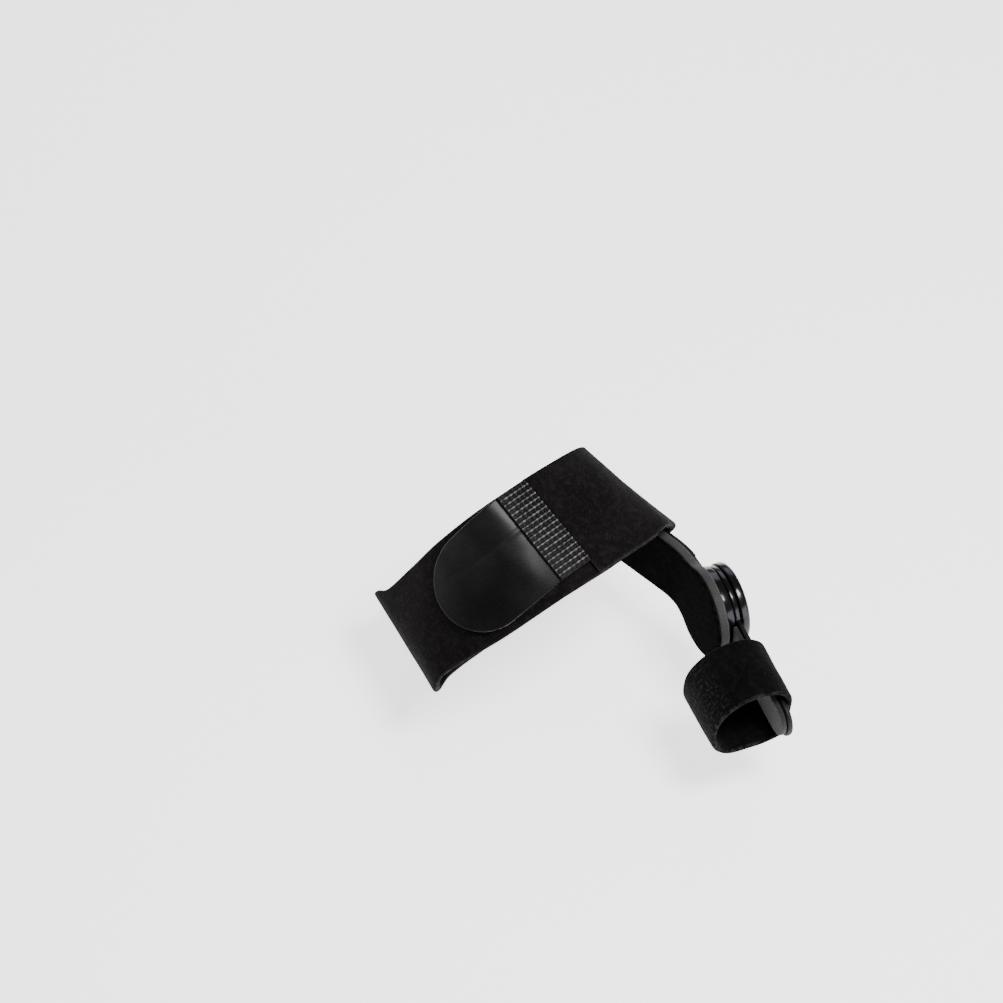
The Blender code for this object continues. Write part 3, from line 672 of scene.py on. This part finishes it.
# closure: tab, hook patch and welded strip
tab = {
    "length": 0.0341,
    "width": 0.0330,
    "thickness": 0.001,
    "edgeRadius": 0.00042,
    "roundLength": 0.0167,
    "rearMargin": 0.0002,
    "skew": 0.0047,
    "sweep": math.radians(84.0),
    "rows": 110,
    "roundRows": 40,
    "columns": 72,
    "creaseHeight": 0.00034,
    "creaseAt": 0.16,
    "creaseFade": 0.16,
    "creasePitch": 0.0125,
    "creaseAlong": 0.9,
    "creaseAcross": 0.42,
    "waveShare": 0.45,
    "fineShare": 0.5,
    "broadShare": 0.7,
    "foldAcross": 0.0125,
    "foldSlope": 0.06,
    "foldWidth": 0.0009,
    "foldHeight": 0.00022,
    "foldEnd": 0.9,
    "foldFade": 0.4,
}
hooks = {"thickness": 0.001, "inset": 0.003, "edgeRadius": 0.0003}
weld = {
    "thickness": 0.0023, "edgeRadius": 0.00035, "edgeSteps": 3, "endReach": 0.00034,
    "rowCount": 18, "stepsPerRow": 12, "beadsPerRow": 6, "stepsPerBead": 10,
    "ridgeHeight": 0.00055, "ridgeStart": 0.46, "ridgeFade": 0.36, "bridgeShare": 0.42,
    "dimpleStart": 0.80, "dimpleFade": 0.22, "dimpleAcross": 1.06, "dimpleAlong": 0.94,
    "beadSize": 0.00090, "beadHeight": 0.00040, "beadSink": 0.00005, "beadVary": (0.86, 1.12), "seed": 4,
}


def tabEdges(past, inset):
    middle = tab["rearMargin"] + tab["width"] / 2 + tab["skew"] * past / tab["length"]
    half = tab["width"] / 2 - inset
    intoRound = past - (tab["length"] - inset - tab["roundLength"])
    if intoRound > 0.0:
        half *= math.sqrt(max(1.0 - (intoRound / tab["roundLength"]) ** 2, 0.0))
    return middle - half, middle + half


def tabPast(i, inset):
    straight = tab["length"] - inset - tab["roundLength"]
    if i <= tab["rows"]:
        return straight * i / tab["rows"]
    turn = tab["sweep"] * (i - tab["rows"]) / tab["roundRows"]
    return straight + tab["roundLength"] * math.sin(turn)


def crease(past, across):
    # soft creases that run slantwise from the weld, and a shallow belly in the middle
    share = past / tab["length"]
    fade = math.exp(-((share - tab["creaseAt"]) / tab["creaseFade"]) ** 2)
    slant = past * tab["creaseAlong"] + across * tab["creaseAcross"]
    wave = math.sin(slant * 2.0 * math.pi / tab["creasePitch"])
    fine = noise.noise(Vector((past * 170.0, across * 90.0, 3.0)))
    broad = noise.noise(Vector((past * 60.0, across * 55.0, 8.0)))
    beside = (across - tab["foldAcross"] - tab["foldSlope"] * past) / tab["foldWidth"]
    fold = tab["foldHeight"] * math.exp(-beside * beside)
    fold *= smoothStep((tab["foldEnd"] - share) / tab["foldFade"])
    ripple = fade * (tab["waveShare"] * wave + tab["fineShare"] * fine) + tab["broadShare"] * broad
    return tab["creaseHeight"] * ripple + fold


def tabPiece(name, inset, lift, thickness, radius, material, creased):
    start = -midfoot["weldStart"] - midfoot["weldLength"] - midfoot["endGap"]
    rows, columns = tab["rows"] + tab["roundRows"], tab["columns"]

    def gridPoint(i, j, edge):
        past = tabPast(i, inset + edge)
        low, high = tabEdges(past, inset + edge)
        past = max(past, edge)
        return past, high + (low - high) * j / columns

    def place(a, b, off):
        swell = crease(a, b) if creased and off > thickness / 2 else 0.0
        return footBand.point(start - a - weldSlant(b), b / foot["width"], lift + off + swell)

    mesh = plateMesh(name, gridPoint, place, roundEdge(thickness, radius), rows, columns)
    piece = newPiece(name, mesh, material)
    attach(piece, "foot_part")
    return piece


def beadTree(material):
    # beads laid on points that carry their own outward and along directions
    tree = bpy.data.node_groups.new("beadRows", "GeometryNodeTree")
    tree.interface.new_socket("Geometry", in_out="INPUT", socket_type="NodeSocketGeometry")
    for label in ("Bead length", "Bead width", "Bead height", "Smallest", "Largest"):
        tree.interface.new_socket(label, in_out="INPUT", socket_type="NodeSocketFloat")
    tree.interface.new_socket("Seed", in_out="INPUT", socket_type="NodeSocketInt")
    tree.interface.new_socket("Geometry", in_out="OUTPUT", socket_type="NodeSocketGeometry")

    def add(kind, settings=None, inputs=None):
        node = tree.nodes.new(kind)
        for key, value in (settings or {}).items():
            setattr(node, key, value)
        for key, value in (inputs or {}).items():
            if isinstance(value, bpy.types.NodeSocket):
                tree.links.new(value, node.inputs[key])
            else:
                node.inputs[key].default_value = value
        return node

    given = add("NodeGroupInput")
    up = add("GeometryNodeInputNamedAttribute", {"data_type": "FLOAT_VECTOR"}, {"Name": "outward"})
    run = add("GeometryNodeInputNamedAttribute", {"data_type": "FLOAT_VECTOR"}, {"Name": "along"})
    stand = add("FunctionNodeAlignRotationToVector", {"axis": "Z"}, {"Vector": up.outputs["Attribute"]})
    turn = add("FunctionNodeAlignRotationToVector", {"axis": "X", "pivot_axis": "Z"}, {
        "Rotation": stand.outputs[0], "Vector": run.outputs["Attribute"]})
    size = add("ShaderNodeCombineXYZ", {}, {
        0: given.outputs["Bead length"], 1: given.outputs["Bead width"], 2: given.outputs["Bead height"]})
    vary = add("FunctionNodeRandomValue", {"data_type": "FLOAT"}, {
        2: given.outputs["Smallest"], 3: given.outputs["Largest"], "Seed": given.outputs["Seed"]})
    scale = add("ShaderNodeVectorMath", {"operation": "SCALE"}, {
        0: size.outputs[0], "Scale": vary.outputs[1]})
    bead = add("GeometryNodeMeshUVSphere", {}, {"Segments": 12, "Rings": 8, "Radius": 0.5})
    laid = add("GeometryNodeInstanceOnPoints", {}, {
        "Points": given.outputs["Geometry"], "Instance": bead.outputs["Mesh"],
        "Rotation": turn.outputs[0], "Scale": scale.outputs[0]})
    real = add("GeometryNodeRealizeInstances", {}, {"Geometry": laid.outputs[0]})
    painted = add("GeometryNodeSetMaterial", {}, {"Geometry": real.outputs[0], "Material": material})
    result = tree.nodes.new("NodeGroupOutput")
    tree.links.new(painted.outputs[0], result.inputs[0])
    return tree


def grown(name, points, attributes, tree, values):
    # runs a tree on loose points and returns the plain mesh
    mesh = faceMesh(name + "Points", points, [])
    for key, vectors in attributes.items():
        layer = mesh.attributes.new(key, "FLOAT_VECTOR", "POINT")
        layer.data.foreach_set("vector", [part for vector in vectors for part in vector])
    holder = bpy.data.objects.new(name + "Points", mesh)
    bpy.context.scene.collection.objects.link(holder)
    modifier = holder.modifiers.new(name, "NODES")
    modifier.node_group = tree
    for item in tree.interface.items_tree:
        if item.item_type == "SOCKET" and item.in_out == "INPUT" and item.name in values:
            modifier[item.identifier] = values[item.name]
    result = bpy.data.meshes.new_from_object(holder.evaluated_get(bpy.context.evaluated_depsgraph_get()))
    bpy.data.objects.remove(holder)
    return result


def weldStrip():
    low, high = tabEdges(0.0, 0.0)
    columns, rows = weld["rowCount"] * weld["stepsPerRow"], weld["beadsPerRow"] * weld["stepsPerBead"]
    length = midfoot["weldLength"]
    rowPitch, beadPitch = (high - low) / weld["rowCount"], length / weld["beadsPerRow"]

    def ridgeAt(a, b):
        # 1 on the ridges along the band, lower on the bridges between two dimples, 0 in a dimple
        across = (b - low) / rowPitch % 1.0 - 0.5
        along = a / beadPitch % 1.0 - 0.5
        away = 2.0 * math.hypot(across * weld["dimpleAcross"], along * weld["dimpleAlong"])
        dimple = smoothStep((away - weld["dimpleStart"]) / weld["dimpleFade"])
        ridge = smoothStep((2.0 * abs(across) - weld["ridgeStart"]) / weld["ridgeFade"])
        return dimple * (weld["bridgeShare"] + (1.0 - weld["bridgeShare"]) * ridge)

    def gridPoint(i, j, inset):
        a = inset - weld["endReach"] + (length + 2 * weld["endReach"] - 2 * inset) * i / rows
        return a, high - inset + (low - high + 2 * inset) * j / columns

    def place(a, b, off):
        rise = weld["ridgeHeight"] * ridgeAt(a, b) if off >= weld["thickness"] else 0.0
        around = -midfoot["weldStart"] - a - weldSlant(b)
        return footBand.point(around, b / foot["width"], overLift + off + rise)

    layers = roundEdge(weld["thickness"], weld["edgeRadius"], weld["edgeSteps"])
    slab = plateMesh("weldSlab", gridPoint, place, layers, rows, columns)
    coords = {}
    uvs = slab.uv_layers["cloth"].data
    for loop in slab.loops:
        coords[loop.vertex_index] = uvs[loop.index].uv[:]
    firstOnTop = len(slab.vertices) - (rows + 1) * (columns + 1)
    ridges = [0.0] * firstOnTop
    for v in range(firstOnTop, len(slab.vertices)):
        ridges.append(ridgeAt(coords[v][0] / 1000.0, coords[v][1] / 1000.0))
    # the ridge share also marks where the film gets its painted highlight
    slab.attributes["rim"].data.foreach_set("value", ridges)
    points, ups, runs = [], [], []
    for row in range(weld["rowCount"]):
        across = (low + rowPitch * (row + 0.5)) / foot["width"]
        for k in range(weld["beadsPerRow"]):
            around = -midfoot["weldStart"] - beadPitch * (k + 0.5) - weldSlant(across * foot["width"])
            points.append(footBand.point(around, across, overLift + weld["thickness"] - weld["beadSink"]))
            ups.append(footBand.normal(around, across))
            nearby = footBand.point(around + 0.0005, across) - footBand.point(around - 0.0005, across)
            runs.append(nearby.normalized())
    beads = grown("weldBeads", points, {"outward": ups, "along": runs}, beadTree(finishes["weld"]), {
        "Bead length": weld["beadSize"], "Bead width": weld["beadSize"], "Bead height": weld["beadHeight"],
        "Smallest": weld["beadVary"][0], "Largest": weld["beadVary"][1], "Seed": weld["seed"]})
    piece = newPiece("weldStrip", joined("weldStrip", [slab, beads]), finishes["weld"])
    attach(piece, "foot_part")
    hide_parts("weld_strip")


def closure():
    tabLift = overLift + hooks["thickness"] + hinge["gap"]
    film = tabPiece("closureTab", 0.0, tabLift, tab["thickness"], tab["edgeRadius"], finishes["film"], True)
    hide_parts("closure_tab")
    patch = tabPiece("hookPatch", hooks["inset"], overLift, hooks["thickness"], hooks["edgeRadius"],
                     finishes["hooks"], False)
    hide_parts("hook_patch")
    weldStrip()


closure()
print("closure made")


pad = {
    "thickness": 0.0029, "margin": 0.0013, "roundRadius": 0.0155, "edgeRadius": 0.0006, "ripple": 0.00008,
    "rows": 150, "roundRows": 46, "endRows": 26, "columns": 26,
    "roundSweep": math.radians(86.0), "endSweep": math.radians(84.0),
}
lining = {"thickness": 0.001, "edgeRadius": 0.0004, "ripple": 0.00006, "endShare": 0.99}
rearArm = {
    "edgeRadius": 0.0005, "sleeveFrom": 0.0147, "sleeveFade": 0.0006, "neckThickness": 0.0012,
    "neckFlare": 0.85, "discInset": 0.0004, "discPower": 6, "endPower": 0.35,
}


def sideOutline(roundRadius, neck, length):
    rows = pad["roundRows"] + pad["rows"] + pad["endRows"]

    def behindAt(i, inset):
        radius, reach = roundRadius - inset, length - inset
        straight = reach - rearSide["endRound"]
        if i <= pad["roundRows"]:
            return radius * math.sin(pad["roundSweep"] * (i / pad["roundRows"] - 1.0))
        if i <= pad["roundRows"] + pad["rows"]:
            return straight * (i - pad["roundRows"]) / pad["rows"]
        turn = pad["endSweep"] * (i - pad["roundRows"] - pad["rows"]) / pad["endRows"]
        return straight + rearSide["endRound"] * math.sin(turn)

    def halfAt(behind, inset):
        radius = roundRadius - inset
        disc = math.sqrt(max(radius ** 2 - behind ** 2, 0.0))
        if behind <= 0.0:
            return disc
        arm = (neck - inset) * smoothStep(behind / (radius * rearArm["neckFlare"]))
        intoEnd = behind - (length - inset - rearSide["endRound"])
        if intoEnd > 0.0:
            arm *= max(1.0 - (intoEnd / rearSide["endRound"]) ** 2, 0.0) ** rearArm["endPower"]
        power = rearArm["discPower"]
        return (disc ** power + arm ** power) ** (1 / power)

    def gridPoint(i, j, inset):
        behind = behindAt(i, inset)
        half = halfAt(behind, inset)
        return behind, half * (1.0 - 2.0 * j / pad["columns"])

    return gridPoint, rows


def sidePlate(name, roundRadius, neck, length, off, thickness, radius, ripple=0.0, thin=None):
    gridPoint, rows = sideOutline(roundRadius, neck, length)

    def place(a, b, rise):
        if thin and rise > thickness / 2:
            sleeve = smoothStep((a - rearArm["sleeveFrom"]) / rearArm["sleeveFade"])
            rise -= (thickness - thin) * (1.0 - sleeve)
        swell = ripple * noise.noise(Vector((a, b, rise)) * 140.0)
        return sidePoint(a, sideHeight(a) + b, off + rise + swell)

    return plateMesh(name, gridPoint, place, roundEdge(thickness, radius), rows, pad["columns"])


def alongAxis(off):
    turn = hingeAxis.to_track_quat("Z", "Y").to_matrix().to_4x4()
    return Matrix.Translation(hinge["centre"] + hingeAxis * off) @ turn


def roundedDisc(name, radius, thickness, off, edge, steps=6):
    profile = [(0.0, 0.0), (radius - edge, 0.0)]
    for k in range(1, steps + 1):
        turn = math.pi / 2 * k / steps
        profile.append((radius - edge + edge * math.sin(turn), edge * (1.0 - math.cos(turn))))
    for k in range(steps + 1):
        turn = math.pi / 2 * (1.0 - k / steps)
        profile.append((radius - edge + edge * math.sin(turn), thickness - edge * (1.0 - math.cos(turn))))
    profile.append((0.0, thickness))
    mesh = turnedMesh(name, profile)
    mesh.transform(alongAxis(off))
    return mesh


def paddedSide():
    neck, length = rearSide["halfHeight"] + pad["margin"], rearSide["length"] + pad["margin"]
    foamOff = -hinge["gap"] - pad["thickness"]
    mesh = sidePlate("sidePad", pad["roundRadius"], neck, length, foamOff, pad["thickness"],
                     pad["edgeRadius"], pad["ripple"])
    foam = newPiece("sidePad", mesh, finishes["foam"])
    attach(foam, "foot_part")
    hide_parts("side_pad")
    liningOff = foamOff - hinge["gap"] - lining["thickness"]
    mesh = sidePlate("padLining", pad["roundRadius"], neck, length, liningOff, lining["thickness"],
                     lining["edgeRadius"], lining["ripple"])
    piece = newPiece("padLining", mesh, finishes["lining"])
    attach(piece, "foot_part")
    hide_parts("pad_lining")


def rearArmPiece():
    plate = sidePlate("rearPlate", hinge["radius"] - rearArm["discInset"], rearSide["halfHeight"],
                      rearSide["length"], 0.0, rearSide["thickness"], rearArm["edgeRadius"],
                      thin=rearArm["neckThickness"])
    ring = roundedDisc("rearRing", hinge["radius"], hinge["rearRing"], rearInner, hinge["ringEdge"])
    piece = newPiece("rearArm", joined("rearArm", [plate, ring]), finishes["plastic"])
    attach(piece, "foot_part")
    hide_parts("rear_arm")


paddedSide()
rearArmPiece()
print("side pad and rear arm made")


cap = {
    "edge": 0.00135, "edgeSteps": 10, "lip": 0.0004, "lipSoft": 0.0001,
    "dishRadius": 0.0086, "dishDepth": 0.0006, "dishSteps": 6, "dishSlope": 2.2, "dishMiddle": 1.05,
    "pinRadius": 0.003, "pinSeat": 0.0016, "pinOverlap": 0.0004, "pinSides": 48,
}


def hingeCap():
    top, edge, radius, lip, soft = hinge["cap"], cap["edge"], hinge["radius"], cap["lip"], cap["lipSoft"]
    profile = [(0.0, 0.0), (radius - lip, 0.0), (radius - soft, soft), (radius, lip)]
    for k in range(cap["edgeSteps"] + 1):
        turn = math.pi / 2 * k / cap["edgeSteps"]
        profile.append((radius - edge + edge * math.cos(turn), top - edge + edge * math.sin(turn)))
    dish, depth = cap["dishRadius"], cap["dishDepth"]
    for k in range(cap["dishSteps"] + 1):
        share = k / cap["dishSteps"]
        profile.append((dish - depth * cap["dishSlope"] * share, top - depth * smoothStep(share)))
    profile.append((0.0, top - depth * cap["dishMiddle"]))
    body = turnedMesh("capBody", profile)
    body.transform(alongAxis(capInner))
    pinLow = rearOuter - cap["pinSeat"]
    pinLength = capInner - pinLow + cap["pinOverlap"]
    pinProfile = [(0.0, 0.0), (cap["pinRadius"], 0.0), (cap["pinRadius"], pinLength), (0.0, pinLength)]
    pin = turnedMesh("capPin", pinProfile, cap["pinSides"])
    pin.transform(alongAxis(pinLow))
    piece = newPiece("hingeCap", joined("hingeCap", [body, pin]), finishes["plastic"])
    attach(piece, "foot_part")
    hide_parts("hinge_cap")


def toePoint(ahead, height, off):
    along = heading(hinge["yaw"]) * math.cos(toeSide["pitch"])
    along.z = math.sin(toeSide["pitch"])
    up = along.cross(hingeAxis)
    return hinge["centre"] + along * ahead + up * height + hingeAxis * off


def toePlate(name, startRadius, half, length, off, thickness, radius):
    straightRows, tipRows, columns = toeSide["rows"], toeSide["tipRows"], toeSide["columns"]

    def gridPoint(i, j, inset):
        reach = half - inset
        share = min(i / straightRows, 1.0)
        turn = toeSide["tipSweep"] * max(i - straightRows, 0) / tipRows
        height = reach * (1.0 - 2.0 * j / columns)
        start = math.sqrt((startRadius + inset) ** 2 - height ** 2)
        ahead = start + (length - half - start) * share + reach * math.sin(turn)
        return ahead, height * math.cos(turn)

    def place(a, b, rise):
        return toePoint(a, b, off + rise)

    return plateMesh(name, gridPoint, place, roundEdge(thickness, radius), straightRows + tipRows, columns)


toeBand = {
    "width": 0.022, "thickness": 0.0018, "fromHinge": 0.024, "edgeRadius": 0.00075,
    "roomWidth": 0.0242, "roomLow": -0.0005, "roomTopRear": 0.0243, "roomTopFront": 0.0223,
    # out, up
    "rows": (
        (0.46, 1.00), (0.74, 0.92), (0.94, 0.72), (1.00, 0.46),
        (0.95, 0.20), (0.78, 0.03), (0.50, 0.00), (0.20, 0.02),
    ),
    "shoulderRows": ((0.05, 0.36), (0.20, 0.84)),
    "stations": 320,
    "columns": 22,
    "ripple": 0.00012,
    "rippleRound": 2.6,
    "rippleAcross": 160.0,
}
toePad = {"thickness": 0.0016, "margin": 0.0008, "clearance": 0.0007, "edgeRadius": 0.0005}


def toeArmPiece():
    plate = toePlate("toePlate", hinge["toeRingRadius"] * toeSide["startShare"], toeSide["halfHeight"],
                     toeSide["length"], -toeSide["thickness"] / 2, toeSide["thickness"],
                     toeSide["edgeRadius"])
    ring = roundedDisc("toeRing", hinge["toeRingRadius"], hinge["toeRing"], toeInner, hinge["ringEdge"])
    piece = newPiece("toeArm", joined("toeArm", [plate, ring]), finishes["plastic"])
    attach(piece, "toe_part")
    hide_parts("toe_arm")
    off = -toeSide["thickness"] / 2 - hinge["gap"] - toePad["thickness"]
    mesh = toePlate("toePad", hinge["radius"] + toePad["clearance"], toeSide["halfHeight"] - toePad["margin"],
                    toeSide["length"] - toePad["margin"], off, toePad["thickness"], toePad["edgeRadius"])
    # grey foam painted darker as shade
    foam = newPiece("toePad", mesh, finishes["toeFoamPaintedShade"])
    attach(foam, "toe_part")
    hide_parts("toe_pad")


def toeLoop():
    wall = toeSide["thickness"] / 2 + hinge["gap"]
    reach = toeSide["halfHeight"] + foot["wallMargin"]
    edges = []
    for ahead, top in ((toeBand["fromHinge"], toeBand["roomTopRear"]),
                       (toeBand["fromHinge"] + toeBand["width"], toeBand["roomTopFront"])):
        middle = hinge["centre"].z + math.tan(toeSide["pitch"]) * ahead
        armHigh = middle + reach
        places = [(out, toeBand["roomLow"] + up * (top - toeBand["roomLow"])) for out, up in toeBand["rows"]]
        places += [(0.0, middle - reach), (0.0, middle), (0.0, armHigh)]
        places += [(out, armHigh + up * (top - armHigh)) for out, up in toeBand["shoulderRows"]]
        base = hinge["centre"] + heading(hinge["yaw"]) * ahead
        points = []
        for out, z in reversed(places):
            point = base + hingeAxis * (wall - out * toeBand["roomWidth"])
            points.append(Vector((point.x, point.y, z)))
        edges.append(points)
    return Loop(edges[0], edges[1])


def ringSection(width, thickness, radius, columns, steps=4):
    # across and lift of a rounded strip section: inner face, front edge, outer face, rear edge
    inner = [(radius + (width - 2 * radius) * j / columns, 0.0) for j in range(columns + 1)]
    edge = []
    for k in range(1, 2 * steps):
        turn = math.pi / 2 * k / steps
        lift = radius * (1.0 - math.cos(turn)) if k <= steps else thickness - radius * (1.0 + math.cos(turn))
        edge.append((width - radius + radius * math.sin(turn), lift))
    outer = [(across, thickness) for across, _ in reversed(inner)]
    back = [(width - across, thickness - lift) for across, lift in edge]
    rims = [0.0] * len(inner) + [1.0] * len(edge) + [0.0] * len(outer) + [1.0] * len(back)
    return inner + edge + outer + back, rims


def toeBandPiece():
    loop = toeLoop()
    width, stations = toeBand["width"], toeBand["stations"]
    section, rimRow = ringSection(width, toeBand["thickness"], toeBand["edgeRadius"], toeBand["columns"])
    count = len(section)
    points, rims = [], []
    for i in range(stations):
        around = loop.girth * i / stations
        turn, size = 2.0 * math.pi * i / stations, toeBand["rippleRound"]
        for across, lift in section:
            spot = Vector((math.cos(turn) * size, math.sin(turn) * size, across * toeBand["rippleAcross"]))
            swell = noise.noise(spot) * toeBand["ripple"] * (lift / toeBand["thickness"])
            points.append(loop.point(around, across / width, lift + swell))
        rims += rimRow
    faces, corners = [], []
    for i in range(stations):
        for k in range(count):
            n = (k + 1) % count
            m = (i + 1) % stations
            faces.append([i * count + k, m * count + k, m * count + n, i * count + n])
            near, far = loop.girth * i / stations * 1000.0, loop.girth * (i + 1) / stations * 1000.0
            here, there = section[k][0] * 1000.0, section[n][0] * 1000.0
            corners.append([(near, here), (far, here), (far, there), (near, there)])
    mesh = faceMesh("toeBand", points, faces, corners, rims)
    piece = newPiece("toeBand", mesh, finishes["toeBand"])
    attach(piece, "toe_part")
    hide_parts("toe_strap")


hingeCap()
toeArmPiece()
toeBandPiece()
print("hinge, toe arm and toe band made")


# every closed piece faces outward
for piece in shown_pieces():
    if piece.type == "MESH":
        shape = bmesh.new()
        shape.from_mesh(piece.data)
        if shape.calc_volume(signed=True) < 0.0:
            print("turned outward", piece.name)
            bmesh.ops.reverse_faces(shape, faces=shape.faces)
            shape.to_mesh(piece.data)
        shape.free()


studio = {
    "floorHeight": -0.026,
    "azimuth": math.radians(42.93), "elevation": math.radians(48.23), "roll": math.radians(3.32),
    "pixelsPerMillimetre": 3.043, "imageSize": 1003, "aimRight": 3.07, "aimUp": 27.77, "aimRise": -2.3,
    "distance": 1.3585, "sensor": 36.0,
    "sky": (1.0, 1.0, 1.0), "skyStrength": 0.24, "floorGlow": 2.0, "floorReach": 4,
    # name, place, aim, size, power, colour
    "lights": (
        ("keyLight", (0.36, 0.03, 0.78), (0.05, 0.0, 0.02), (0.24, 0.24), 9.0, (1.0, 1.0, 1.0)),
        ("coolLight", (-0.45, 0.42, 0.46), (0.06, 0.03, 0.01), (0.40, 0.40), 1.2, (0.80, 0.84, 1.0)),
        ("frontLight", (0.95, 0.10, 0.22), (0.06, 0.03, 0.01), (0.80, 0.44), 5.0, (0.92, 0.89, 1.0)),
    ),
}


def makeCamera():
    az, el, roll = studio["azimuth"], studio["elevation"], studio["roll"]
    back = Vector((math.cos(az) * math.cos(el), -math.sin(az) * math.cos(el), math.sin(el)))
    right = Vector((math.sin(az), math.cos(az), 0.0))
    up = back.cross(right)
    turnedRight = right * math.cos(roll) + up * math.sin(roll)
    turnedUp = up * math.cos(roll) - right * math.sin(roll)
    aim = (turnedRight * studio["aimRight"] + turnedUp * studio["aimUp"]) / 1000.0
    aim.z += studio["aimRise"] / 1000.0
    data = bpy.data.cameras.new("studioCamera")
    data.sensor_width = studio["sensor"]
    framed = studio["imageSize"] / (studio["pixelsPerMillimetre"] * 1000.0)
    data.lens = studio["distance"] / framed * studio["sensor"]
    data.clip_end = 20.0
    camera = bpy.data.objects.new("studioCamera", data)
    bpy.context.scene.collection.objects.link(camera)
    place = Matrix((turnedRight, turnedUp, back)).transposed().to_4x4()
    camera.matrix_world = Matrix.Translation(aim + back * studio["distance"]) @ place
    bpy.context.scene.camera = camera


def softLight(name, place, aim, size, power, colour):
    data = bpy.data.lights.new(name, "AREA")
    data.shape = "RECTANGLE"
    data.size, data.size_y = size
    data.energy = power
    data.color = colour
    lamp = bpy.data.objects.new(name, data)
    bpy.context.scene.collection.objects.link(lamp)
    lamp.location = place
    lamp.rotation_euler = (Vector(aim) - Vector(place)).to_track_quat("-Z", "Y").to_euler()


def makeStudio():
    floorLook = Look("paleFloor", Specular_IOR_Level=0.1, Emission_Color=(1.0, 1.0, 1.0, 1.0),
                     Emission_Strength=studio["floorGlow"])
    cloudy = floorLook.clouds(floorLook.place(), 3.0, 2.0, 0.5)
    floorLook.wear(Base_Color=floorLook.blend(cloudy, (0.86, 0.86, 0.86), (0.90, 0.90, 0.90)), Roughness=0.75)
    mesh = bpy.data.meshes.new("floor")
    r, z = studio["floorReach"], studio["floorHeight"]
    mesh.from_pydata([(-r, -r, z), (r, -r, z), (r, r, z), (-r, r, z)], [], [(0, 1, 2, 3)])
    floor = bpy.data.objects.new("floor", mesh)
    mesh.materials.append(floorLook.material)
    bpy.context.scene.collection.objects.link(floor)
    world = bpy.data.worlds.new("paleRoom")
    world.use_nodes = True
    world.node_tree.nodes["Background"].inputs[0].default_value = (*studio["sky"], 1.0)
    world.node_tree.nodes["Background"].inputs[1].default_value = studio["skyStrength"]
    bpy.context.scene.world = world
    for light in studio["lights"]:
        softLight(*light)


makeCamera()
makeStudio()
print("studio made")
